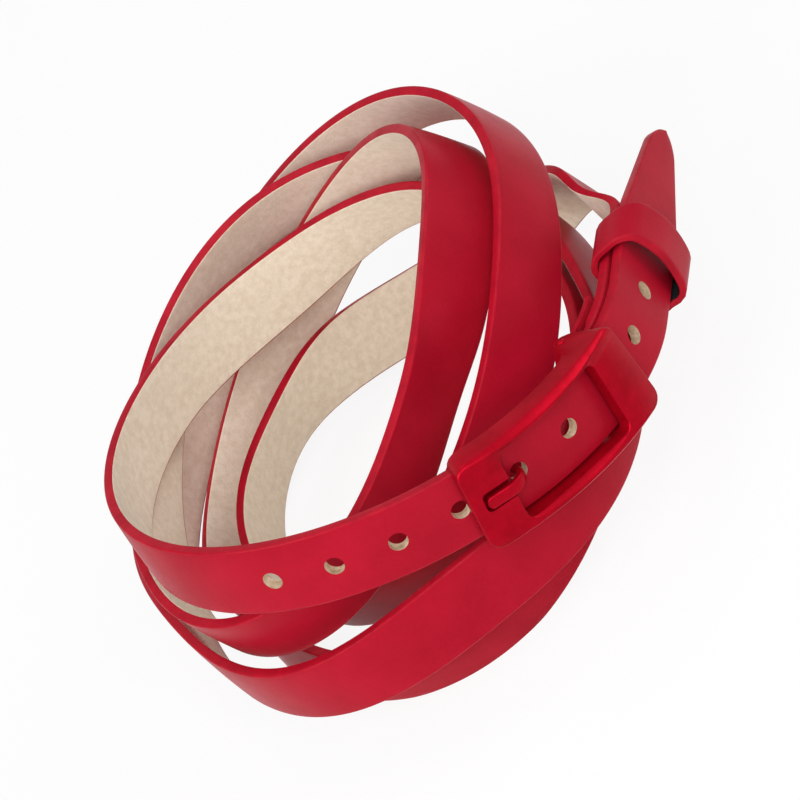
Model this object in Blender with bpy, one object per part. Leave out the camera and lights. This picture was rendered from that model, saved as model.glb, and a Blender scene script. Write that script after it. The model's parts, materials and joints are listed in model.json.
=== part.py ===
"""Leather wrap strap: five loose turns, closed by a lacquered frame buckle, with a prong and a keeper.

The strap's middle line is given by its distance from the axis of the winding and its height along it.
The buckle, prong and keeper are drawn flat, along, across and out from the tail, and then bent to it.
"""
import math

import bmesh
import bpy
import numpy as np
from mathutils import Vector

# Driving sizes in millimetres
STRAP_WIDTH = 9.0
LEATHER_THICKNESS = 0.8
LINING_THICKNESS = 0.45
GLUE_LINE = 0.05
EDGE_CHAMFER = 0.2
STRAND_GAP = 0.75
TIP_LENGTH = 17.0
TIP_POINT_WIDTH = 3.4
TIP_ROUNDING = 2.0
HOLE_RADIUS = 1.1
HOLE_PITCH = 7.3
HOLES_BEFORE_PRONG = 4
HOLES_AFTER_PRONG = 4
FOLD_LENGTH = 11.0
FOLD_SLOT_WIDTH = 2.8
LINING_SETBACK = 2.8
BUCKLE_LENGTH = 24.2
FRAME_RAIL = 1.1
FRAME_SIDE_PLAY = 0.2
FRAME_LIFT = 0.45
FRAME_PLATE = 1.6
FRAME_SKIRT = 0.6
FRAME_CHAMFER = 0.5
FRAME_CORNER = 1.6
WINDOW_START = 4.8
WINDOW_END = 19.1
PRONG_HOLE_AT = 6.5
BAR_AT = 21.5
BAR_RADIUS = 0.6
BAR_PLAY = 0.1
PRONG_HALF_HEIGHT = 0.5
PRONG_HALF_WIDTH = 0.7
PRONG_EYE_WIDTH = 2.0
PRONG_EYE_WALL = 0.6
PRONG_SWING_ROOM = 1.2
NOTCH_END = 1.4
NOTCH_PLAY = 0.3
NOTCH_FLOOR_THICKNESS = 0.5
KEEPER_AT = 41.8
KEEPER_WIDTH = 6.0
KEEPER_LEATHER = 0.5
KEEPER_LINING = 0.25
KEEPER_HEADROOM = 0.6
KEEPER_SIDE_ROOM = 0.4
KEEPER_CORNER = 1.3
LAYER_PLAY = 0.5
STACK_MARGIN = 3.0
FOOT_CUT = 0.5
TAIL_STRAIGHT = 27.0
LINING_INSET = 0.15
SLOT_REACH = 2.4
EAR_HALF = 1.1
BAR_STAND_OUT = 0.25
WINDOW_CORNER = 1.0
WINDOW_BEVEL = 0.3
WALL_INSET = 0.05
TOOL_OVERSHOOT = 1.0
SLOT_DEPTH = 3.0
PRONG_BEND = 1.5
PRONG_POINT = 1.0

# How the finished winding is laid down: two leans in degrees, about X and then about Y
LEAN_ABOUT_X = -8.3
LEAN_ABOUT_Y = 11.4

# The winding: turns counted from the buckle end, then radius and height of the middle line.
# A turn runs right, back, left, front. Each row is one turn, in eighths of a turn.
ROUTE_TURNS = (
    ((34.8, 2.5), (34.5, -6.5), (25.0, -8.5), (22.0, -12.0),
     (19.5, -16.0), (19.0, -15.5), (20.0, -9.5), (24.0, 3.0)),
    ((28.0, 13.0), (32.5, 16.0), (36.0, 5.0), (37.0, -12.0),
     (30.5, -15.6), (31.0, -16.4), (30.0, -11.5), (31.0, -10.0)),
    ((31.0, -1.5), (31.5, 6.5), (31.5, 9.5), (29.5, 1.5),
     (30.5, -7.2), (32.0, -8.2), (20.0, 1.0), (17.5, 9.5)),
    ((21.5, 16.5), (27.0, 14.5), (30.5, -1.0), (29.0, -17.0),
     (24.5, -19.5), (24.5, -21.0), (25.5, -19.5), (25.5, -11.0)),
    ((29.0, -3.0), (27.0, 6.5), (25.0, 4.5), (25.0, 4.0),
     (30.0, 2.5), (33.0, 2.0), (33.0, 1.0), (34.5, 0.5)),
)
ROUTE_END = (34.9, 2.0)
BUCKLE_MIDDLE_TURN = 4.823
TAIL_LEAVES_TURN = 4.961
BUCKLE_END_LEAVES_TURN = 0.004
FREE_START_TURN = 0.05
TAIL_FIXED_TURN = 4.64
TAIL_TABLE_TURN = 4.5

# Twist in degrees of the tail and of the strands that cross under it, coming and going beside each crossing
TAIL_TWIST = 18.0
TWISTED_CROSSINGS = (0, 2, 4, 5)
TWIST_COMES = (-0.25, -0.05)
TWIST_GOES = (0.02, 0.15)
LAYER_BLEND_TURNS = 0.1

# Sampling of the curves
SAMPLES_PER_TURN = 40
TIP_STEPS = 18
CORNER_STEPS = 3
FRAME_STEPS = 9
PRONG_STEPS = 34
EASING_ROUNDS = 200
GAP_SPACING = 2.0
AXIS_SPREAD = 0.07
PUSH_SPREAD = 0.05
RADIUS_SPREAD = 0.03
LEAST_RISE = 0.3
LEAST_SQUARE = 0.5
WELD_DISTANCE = 0.001
FOLD_STEPS = 9
ROUND_SIDES = 16
PRONG_SIDES = 10

MM = 0.001
TAIL_MM_PER_TURN = 2 * math.pi * ROUTE_TURNS[-1][-1][0]
THICKNESS = LEATHER_THICKNESS + GLUE_LINE + LINING_THICKNESS
LAYER_DROP = THICKNESS + LAYER_PLAY
LEATHER_MIDDLE = (THICKNESS - LEATHER_THICKNESS) / 2
FOLD_RADIUS = BAR_RADIUS + BAR_PLAY + LEATHER_THICKNESS / 2
BAR_DEPTH = -LAYER_DROP + LEATHER_MIDDLE - FOLD_RADIUS
FRAME_INNER = STRAP_WIDTH / 2 + FRAME_SIDE_PLAY
FRAME_OUTER = FRAME_INNER + FRAME_RAIL
FRAME_BOTTOM = THICKNESS / 2 + FRAME_LIFT
FRAME_TOP = FRAME_BOTTOM + FRAME_PLATE
FOLD_DEPTH = -BAR_DEPTH + FOLD_RADIUS + LEATHER_THICKNESS / 2
KEEPER_BOTTOM = -(LAYER_DROP + THICKNESS / 2 + LAYER_PLAY)
KEEPER_TOP = THICKNESS / 2 + KEEPER_HEADROOM
KEEPER_HALF = STRAP_WIDTH / 2 + KEEPER_SIDE_ROOM
KEEPER_WALL = KEEPER_LEATHER + GLUE_LINE + KEEPER_LINING
EYE_RADIUS = BAR_RADIUS + BAR_PLAY + PRONG_EYE_WALL
NOTCH_FLOOR = FRAME_BOTTOM + NOTCH_FLOOR_THICKNESS
NOTCH_HALF = PRONG_HALF_WIDTH + NOTCH_PLAY
PRONG_REST = NOTCH_FLOOR + NOTCH_PLAY + PRONG_HALF_HEIGHT
PRONG_RUN_DEPTH = -(THICKNESS / 2 + PRONG_SWING_ROOM + PRONG_HALF_HEIGHT)

RED_LEATHER = (0.45, 0.012, 0.028, 1.0)
BEIGE_LINING = (0.60, 0.47, 0.35, 1.0)
RED_LACQUER = (0.50, 0.006, 0.022, 1.0)
BLACK_LINING = (0.02, 0.022, 0.025, 1.0)


def natural_spline(knots, values, at):
    """Cubic curve through the values, with no bending at either end."""
    count = len(knots)
    step = np.diff(knots)
    slope = np.diff(values) / step
    matrix = np.eye(count)
    right = np.zeros(count)
    for i in range(1, count - 1):
        matrix[i, i - 1:i + 2] = step[i - 1], 2 * (step[i - 1] + step[i]), step[i]
        right[i] = 6 * (slope[i] - slope[i - 1])
    bend = np.linalg.solve(matrix, right)
    k = np.clip(np.searchsorted(knots, at) - 1, 0, count - 2)
    after = at - knots[k]
    before = knots[k + 1] - at
    cubic = (bend[k] * before ** 3 + bend[k + 1] * after ** 3) / (6 * step[k])
    start = (values[k] / step[k] - bend[k] * step[k] / 6) * before
    end = (values[k + 1] / step[k] - bend[k + 1] * step[k] / 6) * after
    return cubic + start + end


def smoothed(values, spread):
    """Values averaged over their neighbours with a bell curve, ends carried on straight."""
    reach = int(3 * spread)
    bell = np.exp(-0.5 * (np.arange(-reach, reach + 1) / spread) ** 2)
    bell /= bell.sum()
    table = values.reshape(len(values), -1)
    head = 2 * table[:1] - table[reach:0:-1]
    tail = 2 * table[-1:] - table[-2:-reach - 2:-1]
    padded = np.concatenate([head, table, tail])
    columns = [np.convolve(padded[:, i], bell, "valid") for i in range(table.shape[1])]
    return np.stack(columns, 1).reshape(values.shape)


def smooth_step(values, start, end):
    share = np.clip((values - start) / (end - start), 0, 1)
    return share * share * (3 - 2 * share)


def unit(vectors):
    return vectors / np.linalg.norm(vectors, axis=1)[:, None]


def on_winding(turns, radius, height):
    """Points at a distance from the winding's axis and a height along it."""
    angle = 2 * math.pi * turns
    return np.stack([radius * np.cos(angle), radius * np.sin(angle), height], 1)


def tail_twist(turns):
    """Twist in radians by turns."""
    share = np.zeros(len(turns))
    for crossing in TWISTED_CROSSINGS:
        place = turns - crossing
        share += smooth_step(place, *TWIST_COMES) - smooth_step(place, *TWIST_GOES)
    return math.radians(TAIL_TWIST) * share


def strap_frames(turns, points):
    """Directions along, across and out of the strap: a strip turns about its curve's own bending axis."""
    along = np.gradient(points, axis=0)
    bending = np.gradient(along, axis=0)
    axis = smoothed(np.cross(along, bending), SAMPLES_PER_TURN * AXIS_SPREAD)
    along = unit(along)
    across = unit(axis - (axis * along).sum(1)[:, None] * along)
    outward = np.cross(along, across)
    twist = tail_twist(turns)[:, None]
    turned = across * np.cos(twist) - outward * np.sin(twist)
    return along, turned, np.cross(along, turned)


def route_knots():
    """Turns, radius and height at every eighth of a turn, the first one where the buckle end comes free."""
    rows = np.array([pair for turn in ROUTE_TURNS for pair in turn] + [ROUTE_END])
    knots = np.arange(len(rows)) / 8
    knots[0] = FREE_START_TURN
    return knots, rows[:, 0], rows[:, 1]


def radial_share(turns, vectors):
    angle = 2 * math.pi * turns
    return vectors[:, 0] * np.cos(angle) + vectors[:, 1] * np.sin(angle)


def wound_line():
    """Turns, radius and height of the middle line, with the buckle end laid one layer under the tail."""
    knots, radius, height = route_knots()
    turn_count = len(ROUTE_TURNS)
    tail_turns = np.arange(TAIL_TABLE_TURN, turn_count, 1 / SAMPLES_PER_TURN)
    tail_radius = natural_spline(knots, radius, tail_turns)
    tail_height = natural_spline(knots, height, tail_turns)
    _, _, outward = strap_frames(tail_turns, on_winding(tail_turns, tail_radius, tail_height))
    under_radius = tail_radius - LAYER_DROP * radial_share(tail_turns, outward)
    under_height = tail_height - LAYER_DROP * outward[:, 2]
    first_turn = bar_turn()
    tied = np.linspace(first_turn, BUCKLE_END_LEAVES_TURN, 5)
    knots = np.concatenate([tied, knots])
    radius = np.concatenate([np.interp(tied + turn_count, tail_turns, under_radius), radius])
    height = np.concatenate([np.interp(tied + turn_count, tail_turns, under_height), height])
    last = math.floor((TAIL_LEAVES_TURN - first_turn) * SAMPLES_PER_TURN)
    turns = first_turn + np.arange(last + 1) / SAMPLES_PER_TURN
    return turns, natural_spline(knots, radius, turns), natural_spline(knots, height, turns)


def bar_turn():
    """Where the buckle end starts, in turns: the bar's place under the tail."""
    ahead = (BAR_AT - BUCKLE_LENGTH / 2) / TAIL_MM_PER_TURN
    return BUCKLE_MIDDLE_TURN + ahead - len(ROUTE_TURNS)


def strand_depths(turns):
    """Half width and inner depth that each strand keeps clear, more under the buckle and keeper."""
    from_bar = (turns - bar_turn()) * TAIL_MM_PER_TURN
    to_keeper = np.abs(from_bar - (KEEPER_AT - BAR_AT))
    half_width = np.full(len(turns), STRAP_WIDTH / 2)
    half_width[from_bar < EAR_HALF + STACK_MARGIN] = FRAME_OUTER
    half_width[to_keeper < KEEPER_WIDTH / 2 + STACK_MARGIN] = KEEPER_HALF + KEEPER_WALL
    inner = np.where(turns < BUCKLE_END_LEAVES_TURN, FOLD_DEPTH - LAYER_DROP, THICKNESS / 2)
    return half_width, inner


def eased_radius(turns, radius, height):
    """Radius after touching strands are eased apart, each pair keeping its inner and outer order."""
    per_turn = SAMPLES_PER_TURN
    fixed = (turns > TAIL_FIXED_TURN) | (turns < 0.0)
    half_width, inner = strand_depths(turns)
    for _ in range(EASING_ROUNDS):
        _, across, outward = strap_frames(turns, on_winding(turns, radius, height))
        rise = np.maximum(across[:, 2], LEAST_RISE)
        reach = half_width * rise
        lean = radial_share(turns, across) / rise
        square = np.maximum(radial_share(turns, outward), LEAST_SQUARE)
        push = np.zeros(len(turns))
        for apart in range(1, len(ROUTE_TURNS) + 1):
            one = np.arange(len(turns) - apart * per_turn)
            two = one + apart * per_turn
            low = np.maximum((height - reach)[one], (height - reach)[two])
            high = np.minimum((height + reach)[one], (height + reach)[two])
            shared = high - low + STRAND_GAP
            gaps = []
            for level in (low - STRAND_GAP, high + STRAND_GAP):
                radius_one = radius[one] + lean[one] * (level - height[one])
                radius_two = radius[two] + lean[two] * (level - height[two])
                gaps.append(radius_two - radius_one)
            sign = np.where(gaps[0] + gaps[1] >= 0, 1, -1)
            least = np.minimum(gaps[0] * sign, gaps[1] * sign)
            depth = np.where(sign > 0, inner[two], inner[one]) + THICKNESS / 2 + STRAND_GAP
            wanted = depth / np.minimum(square[one], square[two])
            lack = np.maximum(0, wanted - least) * np.clip(shared, 0, 1)
            share_one = np.where(fixed[one], 0.0, np.where(fixed[two], 1.0, 0.5))
            share_two = np.where(fixed[two], 0.0, np.where(fixed[one], 1.0, 0.5))
            push[one] -= sign * lack * share_one / 2
            push[two] += sign * lack * share_two / 2
        push = smoothed(push, per_turn * PUSH_SPREAD)
        push[fixed] = 0.0
        radius = radius + push
    return smoothed(radius, per_turn * RADIUS_SPREAD)


class Path:
    """A strap line with its directions, read anywhere along its run."""

    def __init__(self, points, along, across, outward):
        self.points = points
        self.along = along
        self.across = across
        self.outward = outward
        self.run = np.concatenate([[0], np.cumsum(np.linalg.norm(np.diff(points, axis=0), axis=1))])

    def read(self, table, run):
        return np.stack([natural_spline(self.run, table[:, i], run) for i in range(3)], 1)

    def at(self, run):
        directions = (self.along, self.across, self.outward)
        return self.read(self.points, run), *(unit(self.read(table, run)) for table in directions)


def laid_down(vectors):
    """The winding's own axes turned by its two leans."""
    x, y = math.radians(LEAN_ABOUT_X), math.radians(LEAN_ABOUT_Y)
    about_x = np.array([[1, 0, 0], [0, math.cos(x), -math.sin(x)], [0, math.sin(x), math.cos(x)]])
    about_y = np.array([[math.cos(y), 0, math.sin(y)], [0, 1, 0], [-math.sin(y), 0, math.cos(y)]])
    return vectors @ (about_y @ about_x).T


def carried_on(table, steps):
    """A table of directions with its last one held over a straight end."""
    return np.concatenate([table, np.repeat(table[-1:], steps, 0)])


def strap_path():
    """The whole strap from its bar to its tip, and the run at the buckle's left end."""
    turns, radius, height = wound_line()
    points = on_winding(turns, eased_radius(turns, radius, height), height)
    frames = strap_frames(turns, points)
    straight = np.linspace(0, TAIL_STRAIGHT, TIP_STEPS + 1)[1:, None]
    points = np.concatenate([points, points[-1] + straight * frames[0][-1]])
    frames = [carried_on(table, TIP_STEPS) for table in frames]

    first = int(np.searchsorted(turns, TAIL_FIXED_TURN))
    tail = Path(points[first:], *(table[first:] for table in frames))
    start = np.interp(BUCKLE_MIDDLE_TURN, turns[first:], tail.run[:len(turns) - first]) - BUCKLE_LENGTH / 2
    under = int(np.searchsorted(turns, BUCKLE_END_LEAVES_TURN))
    from_bar = (turns[:under] - turns[0]) * TAIL_MM_PER_TURN
    middle, *held = tail.at(start + BAR_AT + from_bar)
    points[:under] = middle - LAYER_DROP * held[2]
    blend = smooth_step(turns, BUCKLE_END_LEAVES_TURN, BUCKLE_END_LEAVES_TURN + LAYER_BLEND_TURNS)[:, None]
    blend = carried_on(blend, TIP_STEPS)
    for i, kept in enumerate(held):
        layer = carried_on(kept, len(points) - under)
        frames[i] = unit(frames[i] * blend + layer * (1 - blend))

    path = Path(laid_down(points), *(laid_down(table) for table in frames))
    floor = (path.points[:, 2] - STRAP_WIDTH / 2 * np.abs(path.across[:, 2])).min()
    path.points[:, 2] -= floor + FOOT_CUT
    print("least gap of the strap to itself, mm:", round(least_gap(path), 2))
    return path, path.run[first] + start


def least_gap(path):
    """Least gap between strands, from points spread over both faces of the strap."""
    run = np.arange(0, path.run[-1], GAP_SPACING)
    points, _, across, outward = path.at(run)
    spread = np.linspace(-STRAP_WIDTH / 2, STRAP_WIDTH / 2, 9)
    middle = points[:, None] + spread[None, :, None] * across[:, None]
    deep = THICKNESS / 2 * outward[:, None]
    rows = np.concatenate([middle - deep, middle + deep], 1)
    least = math.inf
    skip = int(math.pi * ROUTE_TURNS[0][0][0] / GAP_SPACING)
    for i in range(len(rows) - skip):
        later = rows[i + skip:].reshape(-1, 3)
        apart = np.linalg.norm(rows[i][:, None] - later[None], axis=2)
        least = min(least, apart.min())
    return float(least)


def half_widths(from_tip):
    """Half width of the strap by distance from its tip: a long taper and a rounded point."""
    taper = (STRAP_WIDTH - TIP_POINT_WIDTH) / TIP_LENGTH
    half = np.minimum(STRAP_WIDTH, TIP_POINT_WIDTH + taper * from_tip) / 2
    inside = np.clip(from_tip / TIP_ROUNDING, 0, 1)
    return half * np.sqrt(np.maximum(1 - (1 - inside) ** 2, 0.01))


def solid_of_sections(sections):
    """Vertices and faces of a closed solid from equal loops, with an end face on the first and last loop.

    Side faces are cut corner to corner, one way and then the other, so two facing layers agree.
    """
    count, size = sections.shape[:2]
    faces = []
    for i in range(count - 1):
        for j in range(size):
            k = (j + 1) % size
            a, b = i * size + j, i * size + k
            c, d = b + size, a + size
            faces += [(a, b, c), (a, c, d)] if j % 2 == 0 else [(a, b, d), (b, c, d)]
    faces.append(tuple(range(size)))
    faces.append(tuple(range((count - 1) * size, count * size)))
    return sections.reshape(-1, 3), faces


def solid_of_rings(rings):
    """Vertices and faces of a closed ring solid: each loop joined to the next, the last to the first."""
    count, size = rings.shape[:2]
    faces = []
    for i in range(count):
        m = (i + 1) % count
        for j in range(size):
            k = (j + 1) % size
            faces.append((i * size + j, i * size + k, m * size + k, m * size + j))
    return rings.reshape(-1, 3), faces


def box(low, high):
    """Vertices and faces of a box between two corners."""
    ends = [[(x, low[1], low[2]), (x, high[1], low[2]), (x, high[1], high[2]), (x, low[1], high[2])]
            for x in (low[0], high[0])]
    return solid_of_sections(np.array(ends, float))


def round_loop(radius, sides):
    angle = 2 * math.pi * np.arange(sides) / sides
    return np.stack([radius * np.cos(angle), radius * np.sin(angle)], 1)


def cross_pin(run, depth, radius, half_length):
    """A round pin lying across the strap, in flat strap axes."""
    loop = round_loop(radius, ROUND_SIDES)
    sections = [np.stack([run + loop[:, 0], np.full(ROUND_SIDES, w), depth + loop[:, 1]], 1)
                for w in (-half_length, half_length)]
    return solid_of_sections(np.array(sections))


def rounded_oblong(start, end, low, high, corner, side_steps):
    """Points round an oblong with rounded corners, the same number for every size."""
    middles = ((end - corner, high - corner), (start + corner, high - corner),
               (start + corner, low + corner), (end - corner, low + corner))
    loop = []
    for i, (x, y) in enumerate(middles):
        for step in range(CORNER_STEPS + 1):
            angle = math.pi / 2 * (i + step / CORNER_STEPS)
            loop.append((x + corner * math.cos(angle), y + corner * math.sin(angle)))
        after = middles[(i + 1) % 4]
        corner_end = np.array(loop[-1])
        next_start = np.array(after) + corner * np.array([math.cos(angle), math.sin(angle)])
        for step in range(1, side_steps[i % 2]):
            loop.append(tuple(corner_end + (next_start - corner_end) * step / side_steps[i % 2]))
    return np.array(loop)


def new_mesh(name, vertices, faces):
    """A mesh in millimetres with its faces turned outward."""
    mesh = bpy.data.meshes.new(name)
    mesh.from_pydata([tuple(v) for v in vertices], [], faces)
    work = bmesh.new()
    work.from_mesh(mesh)
    bmesh.ops.recalc_face_normals(work, faces=work.faces)
    work.to_mesh(mesh)
    work.free()
    return mesh


def new_object(name, mesh):
    thing = bpy.data.objects.new(name, mesh)
    bpy.context.scene.collection.objects.link(thing)
    return thing


def add_boolean(thing, tool, operation):
    modifier = thing.modifiers.new(operation.lower(), "BOOLEAN")
    modifier.operation = operation
    modifier.solver = "EXACT"
    modifier.object = tool


def carved(name, base, steps):
    """Vertices and faces, all triangles, of a base solid after joining and cutting other solids."""
    thing = new_object(name, new_mesh(name, *base))
    tools = []
    for operation, shape in steps:
        tool = new_object(name + "_tool", new_mesh(name + "_tool", *shape))
        tools.append(tool)
        add_boolean(thing, tool, operation)
    bpy.context.view_layer.update()
    done = thing.evaluated_get(bpy.context.evaluated_depsgraph_get()).to_mesh()
    work = bmesh.new()
    work.from_mesh(done)
    bmesh.ops.remove_doubles(work, verts=work.verts, dist=WELD_DISTANCE)
    bmesh.ops.triangulate(work, faces=work.faces)
    vertices = np.array([v.co for v in work.verts])
    faces = [tuple(v.index for v in face.verts) for face in work.faces]
    work.free()
    for item in (thing, *tools):
        bpy.data.objects.remove(item)
    return vertices, faces


def finish_material(name, colour, roughness, metallic):
    material = bpy.data.materials.new(name)
    material.use_nodes = True
    shader = material.node_tree.nodes["Principled BSDF"]
    shader.inputs["Base Color"].default_value = colour
    shader.inputs["Roughness"].default_value = roughness
    shader.inputs["Metallic"].default_value = metallic
    material.diffuse_color = colour
    return material


def add_node(name, shape, material, pivot):
    """One named piece in metres, its origin on the given pivot."""
    vertices, faces = shape
    thing = new_object(name, new_mesh(name, (vertices - pivot) * MM, faces))
    thing.location = Vector(pivot * MM)
    thing.data.materials.append(material)
    return thing


class Tail:
    """Flat strap axes bent on to the tail: along from the buckle's left end, across, and out."""

    def __init__(self, path, start):
        self.path = path
        self.start = start

    def bend(self, flat):
        points, _, across, outward = self.path.at(self.start + flat[:, 0])
        return points + flat[:, 1:2] * across + flat[:, 2:3] * outward

    def bend_shape(self, shape):
        return self.bend(shape[0]), shape[1]

    def axes(self, run):
        return [v[0] for v in self.path.at(np.array([self.start + run]))]

    def straight_shape(self, shape, run):
        """A shape kept straight, set in the axes found at one place along the tail."""
        point, along, across, outward = self.axes(run)
        flat = shape[0] - np.array([run, 0, 0])
        return point + flat @ np.stack([along, across, outward]), shape[1]


def strap_sections(middles, across, outward, half, depths, chamfer, floor):
    """Loops of the strap's section, its outer corners taken off and its width cut short at the floor."""
    inner, outer = depths
    corners = ((-1, inner, 0), (-1, outer - chamfer, 0), (-1, outer, 1),
               (1, outer, 1), (1, outer - chamfer, 0), (1, inner, 0))
    loops = []
    for side, depth, inset in corners:
        edge = side * (half - inset * np.minimum(chamfer, half / 2))
        loop = middles + edge[:, None] * across + depth * outward
        below = np.maximum(floor - loop[:, 2], 0)
        cut = np.where(below > 0, below / across[:, 2], 0)
        loops.append(loop + cut[:, None] * across)
    return np.stack(loops, 1)


def fold_stations(tail):
    """Leather folded back round the bar, from its cut end: middles, and directions across and outward."""
    back = BAR_AT + np.linspace(FOLD_LENGTH, 0, FOLD_STEPS)
    points, _, across, outward = tail.path.at(tail.start + back)
    back_middle = points + (BAR_DEPTH - FOLD_RADIUS) * outward
    point, bar_along, bar_across, bar_outward = tail.axes(BAR_AT)
    turn = np.linspace(math.pi, 0, FOLD_STEPS + 1)[1:-1, None]
    facing = np.cos(turn) * bar_outward - np.sin(turn) * bar_along
    round_middle = point + BAR_DEPTH * bar_outward + FOLD_RADIUS * facing
    middle = np.concatenate([back_middle, round_middle])
    across = np.concatenate([across, np.repeat([bar_across], len(turn), 0)])
    return middle, across, np.concatenate([-outward, facing])


def strap_leather_shape(tail):
    path = tail.path
    fold_middle, fold_across, fold_facing = fold_stations(tail)
    middle = np.concatenate([fold_middle, path.points + LEATHER_MIDDLE * path.outward])
    across = np.concatenate([fold_across, path.across])
    facing = np.concatenate([fold_facing, path.outward])
    half = half_widths(path.run[-1] - path.run)
    half = np.concatenate([np.full(len(fold_middle), STRAP_WIDTH / 2), half])
    deep = LEATHER_THICKNESS / 2
    return solid_of_sections(strap_sections(middle, across, facing, half, (-deep, deep), EDGE_CHAMFER, 0))


def strap_lining_shape(tail):
    path = tail.path
    first = int(np.searchsorted(path.run, LINING_SETBACK))
    half = half_widths(path.run[-1] - path.run[first:]) - LINING_INSET
    inner = -THICKNESS / 2
    stations = [table[first:] for table in (path.points, path.across, path.outward)]
    depths = (inner, inner + LINING_THICKNESS)
    return solid_of_sections(strap_sections(*stations, half, depths, EDGE_CHAMFER / 4, LINING_INSET))


def hole_tools(tail):
    """Round tools for the row of holes in the tail."""
    loop = round_loop(HOLE_RADIUS, ROUND_SIDES)
    tools = []
    for i in range(-HOLES_BEFORE_PRONG, HOLES_AFTER_PRONG + 1):
        run = PRONG_HOLE_AT + i * HOLE_PITCH
        flat = [np.stack([run + loop[:, 0], loop[:, 1], np.full(ROUND_SIDES, depth)], 1)
                for depth in (-THICKNESS, THICKNESS)]
        tools.append(tail.straight_shape(solid_of_sections(np.array(flat)), run))
    return tools


def frame_shape():
    """The buckle frame, flat: bevelled and closed, with two ears for the bar and a notch for the prong."""
    def loop(inset_outer, start, end, half, corner, depth):
        side = half - inset_outer
        flat = rounded_oblong(start + inset_outer, end - inset_outer, -side, side, corner, (FRAME_STEPS, 4))
        return np.column_stack([flat, np.full(len(flat), depth)])

    def outer(inset, depth):
        return loop(inset, 0, BUCKLE_LENGTH, FRAME_OUTER, FRAME_CORNER - inset, depth)

    def window(grow, depth):
        return loop(-grow, WINDOW_START, WINDOW_END, FRAME_INNER, WINDOW_CORNER + grow, depth)

    bevel = FRAME_CHAMFER
    rings = np.array([
        outer(0, -FRAME_SKIRT), outer(0, FRAME_TOP - bevel), outer(bevel, FRAME_TOP),
        window(WINDOW_BEVEL, FRAME_TOP), window(0, FRAME_TOP - WINDOW_BEVEL), window(0, -FRAME_SKIRT),
    ])
    channel = FRAME_INNER - WALL_INSET
    low = (-TOOL_OVERSHOOT, -channel, -2 * FRAME_TOP)
    steps = [("DIFFERENCE", box(low, (BUCKLE_LENGTH + TOOL_OVERSHOOT, channel, FRAME_BOTTOM)))]
    for side in (-1, 1):
        walls = sorted((side * (FRAME_INNER + WALL_INSET), side * (FRAME_OUTER - WALL_INSET)))
        low = (BAR_AT - EAR_HALF, walls[0], BAR_DEPTH - EAR_HALF)
        steps.append(("UNION", box(low, (BAR_AT + EAR_HALF, walls[1], FRAME_SKIRT))))
    bore = cross_pin(BAR_AT, BAR_DEPTH, BAR_RADIUS + BAR_PLAY, FRAME_OUTER + TOOL_OVERSHOOT)
    steps.append(("DIFFERENCE", bore))
    notch_open = WINDOW_START + 2 * TOOL_OVERSHOOT
    notch = rounded_oblong(NOTCH_END, notch_open, -NOTCH_HALF, NOTCH_HALF, NOTCH_HALF * 0.98, (3, 3))
    heights = (NOTCH_FLOOR, FRAME_TOP + TOOL_OVERSHOOT)
    levels = [np.column_stack([notch, np.full(len(notch), height)]) for height in heights]
    steps.append(("DIFFERENCE", solid_of_sections(np.array(levels))))
    return carved("frame_work", solid_of_rings(rings), steps)


def prong_shape():
    """The prong, flat: an eye on the bar, a run under the tail, a bend up through the hole to the notch."""
    hole = PRONG_HOLE_AT
    corner = PRONG_BEND / 2
    knots = np.array([
        (BAR_AT - BAR_RADIUS, BAR_DEPTH + corner),
        (BAR_AT - 2 * PRONG_BEND, PRONG_RUN_DEPTH),
        (hole + 3 * PRONG_BEND, PRONG_RUN_DEPTH),
        (hole + PRONG_BEND, PRONG_RUN_DEPTH),
        (hole + corner / 3, PRONG_RUN_DEPTH + corner),
        (hole, -THICKNESS / 2),
        (hole, THICKNESS / 2),
        (hole - corner / 3, PRONG_REST - corner),
        (hole - PRONG_BEND, PRONG_REST),
        (hole - 2 * PRONG_BEND, PRONG_REST),
        (NOTCH_END + NOTCH_PLAY, PRONG_REST),
    ])
    place = np.concatenate([[0], np.cumsum(np.linalg.norm(np.diff(knots, axis=0), axis=1))])
    run = np.linspace(0, place[-1], PRONG_STEPS)
    line = np.stack([natural_spline(place, knots[:, i], run) for i in range(2)], 1)
    along = unit(np.gradient(line, axis=0))
    loop = round_loop(1, PRONG_SIDES)
    size = np.sqrt(np.clip((place[-1] - run) / PRONG_POINT, 0.15, 1))
    rise = loop[None, :, 1] * PRONG_HALF_HEIGHT * size[:, None]
    sections = np.stack([
        line[:, :1] - along[:, 1:] * rise,
        loop[None, :, 0] * PRONG_HALF_WIDTH * size[:, None],
        line[:, 1:] + along[:, :1] * rise,
    ], 2)
    eye = cross_pin(BAR_AT, BAR_DEPTH, EYE_RADIUS, PRONG_EYE_WIDTH / 2)
    bore = cross_pin(BAR_AT, BAR_DEPTH, BAR_RADIUS + BAR_PLAY, PRONG_EYE_WIDTH)
    return carved("prong_work", solid_of_sections(sections), [("UNION", eye), ("DIFFERENCE", bore)])


def keeper_layer(inside, outside):
    """One layer of the keeper, flat: a rounded loop round both layers of strap."""
    def loop(grow, run):
        side, corner = KEEPER_HALF + grow, KEEPER_CORNER + grow
        flat = rounded_oblong(KEEPER_BOTTOM - grow, KEEPER_TOP + grow, -side, side, corner, (2, 3))
        return np.column_stack([np.full(len(flat), run), flat[:, 1], flat[:, 0]])

    runs = KEEPER_AT + np.linspace(-KEEPER_WIDTH / 2, KEEPER_WIDTH / 2, 4)
    rings = [loop(outside, run) for run in runs] + [loop(inside, run) for run in runs[::-1]]
    return solid_of_rings(np.array(rings))


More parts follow.
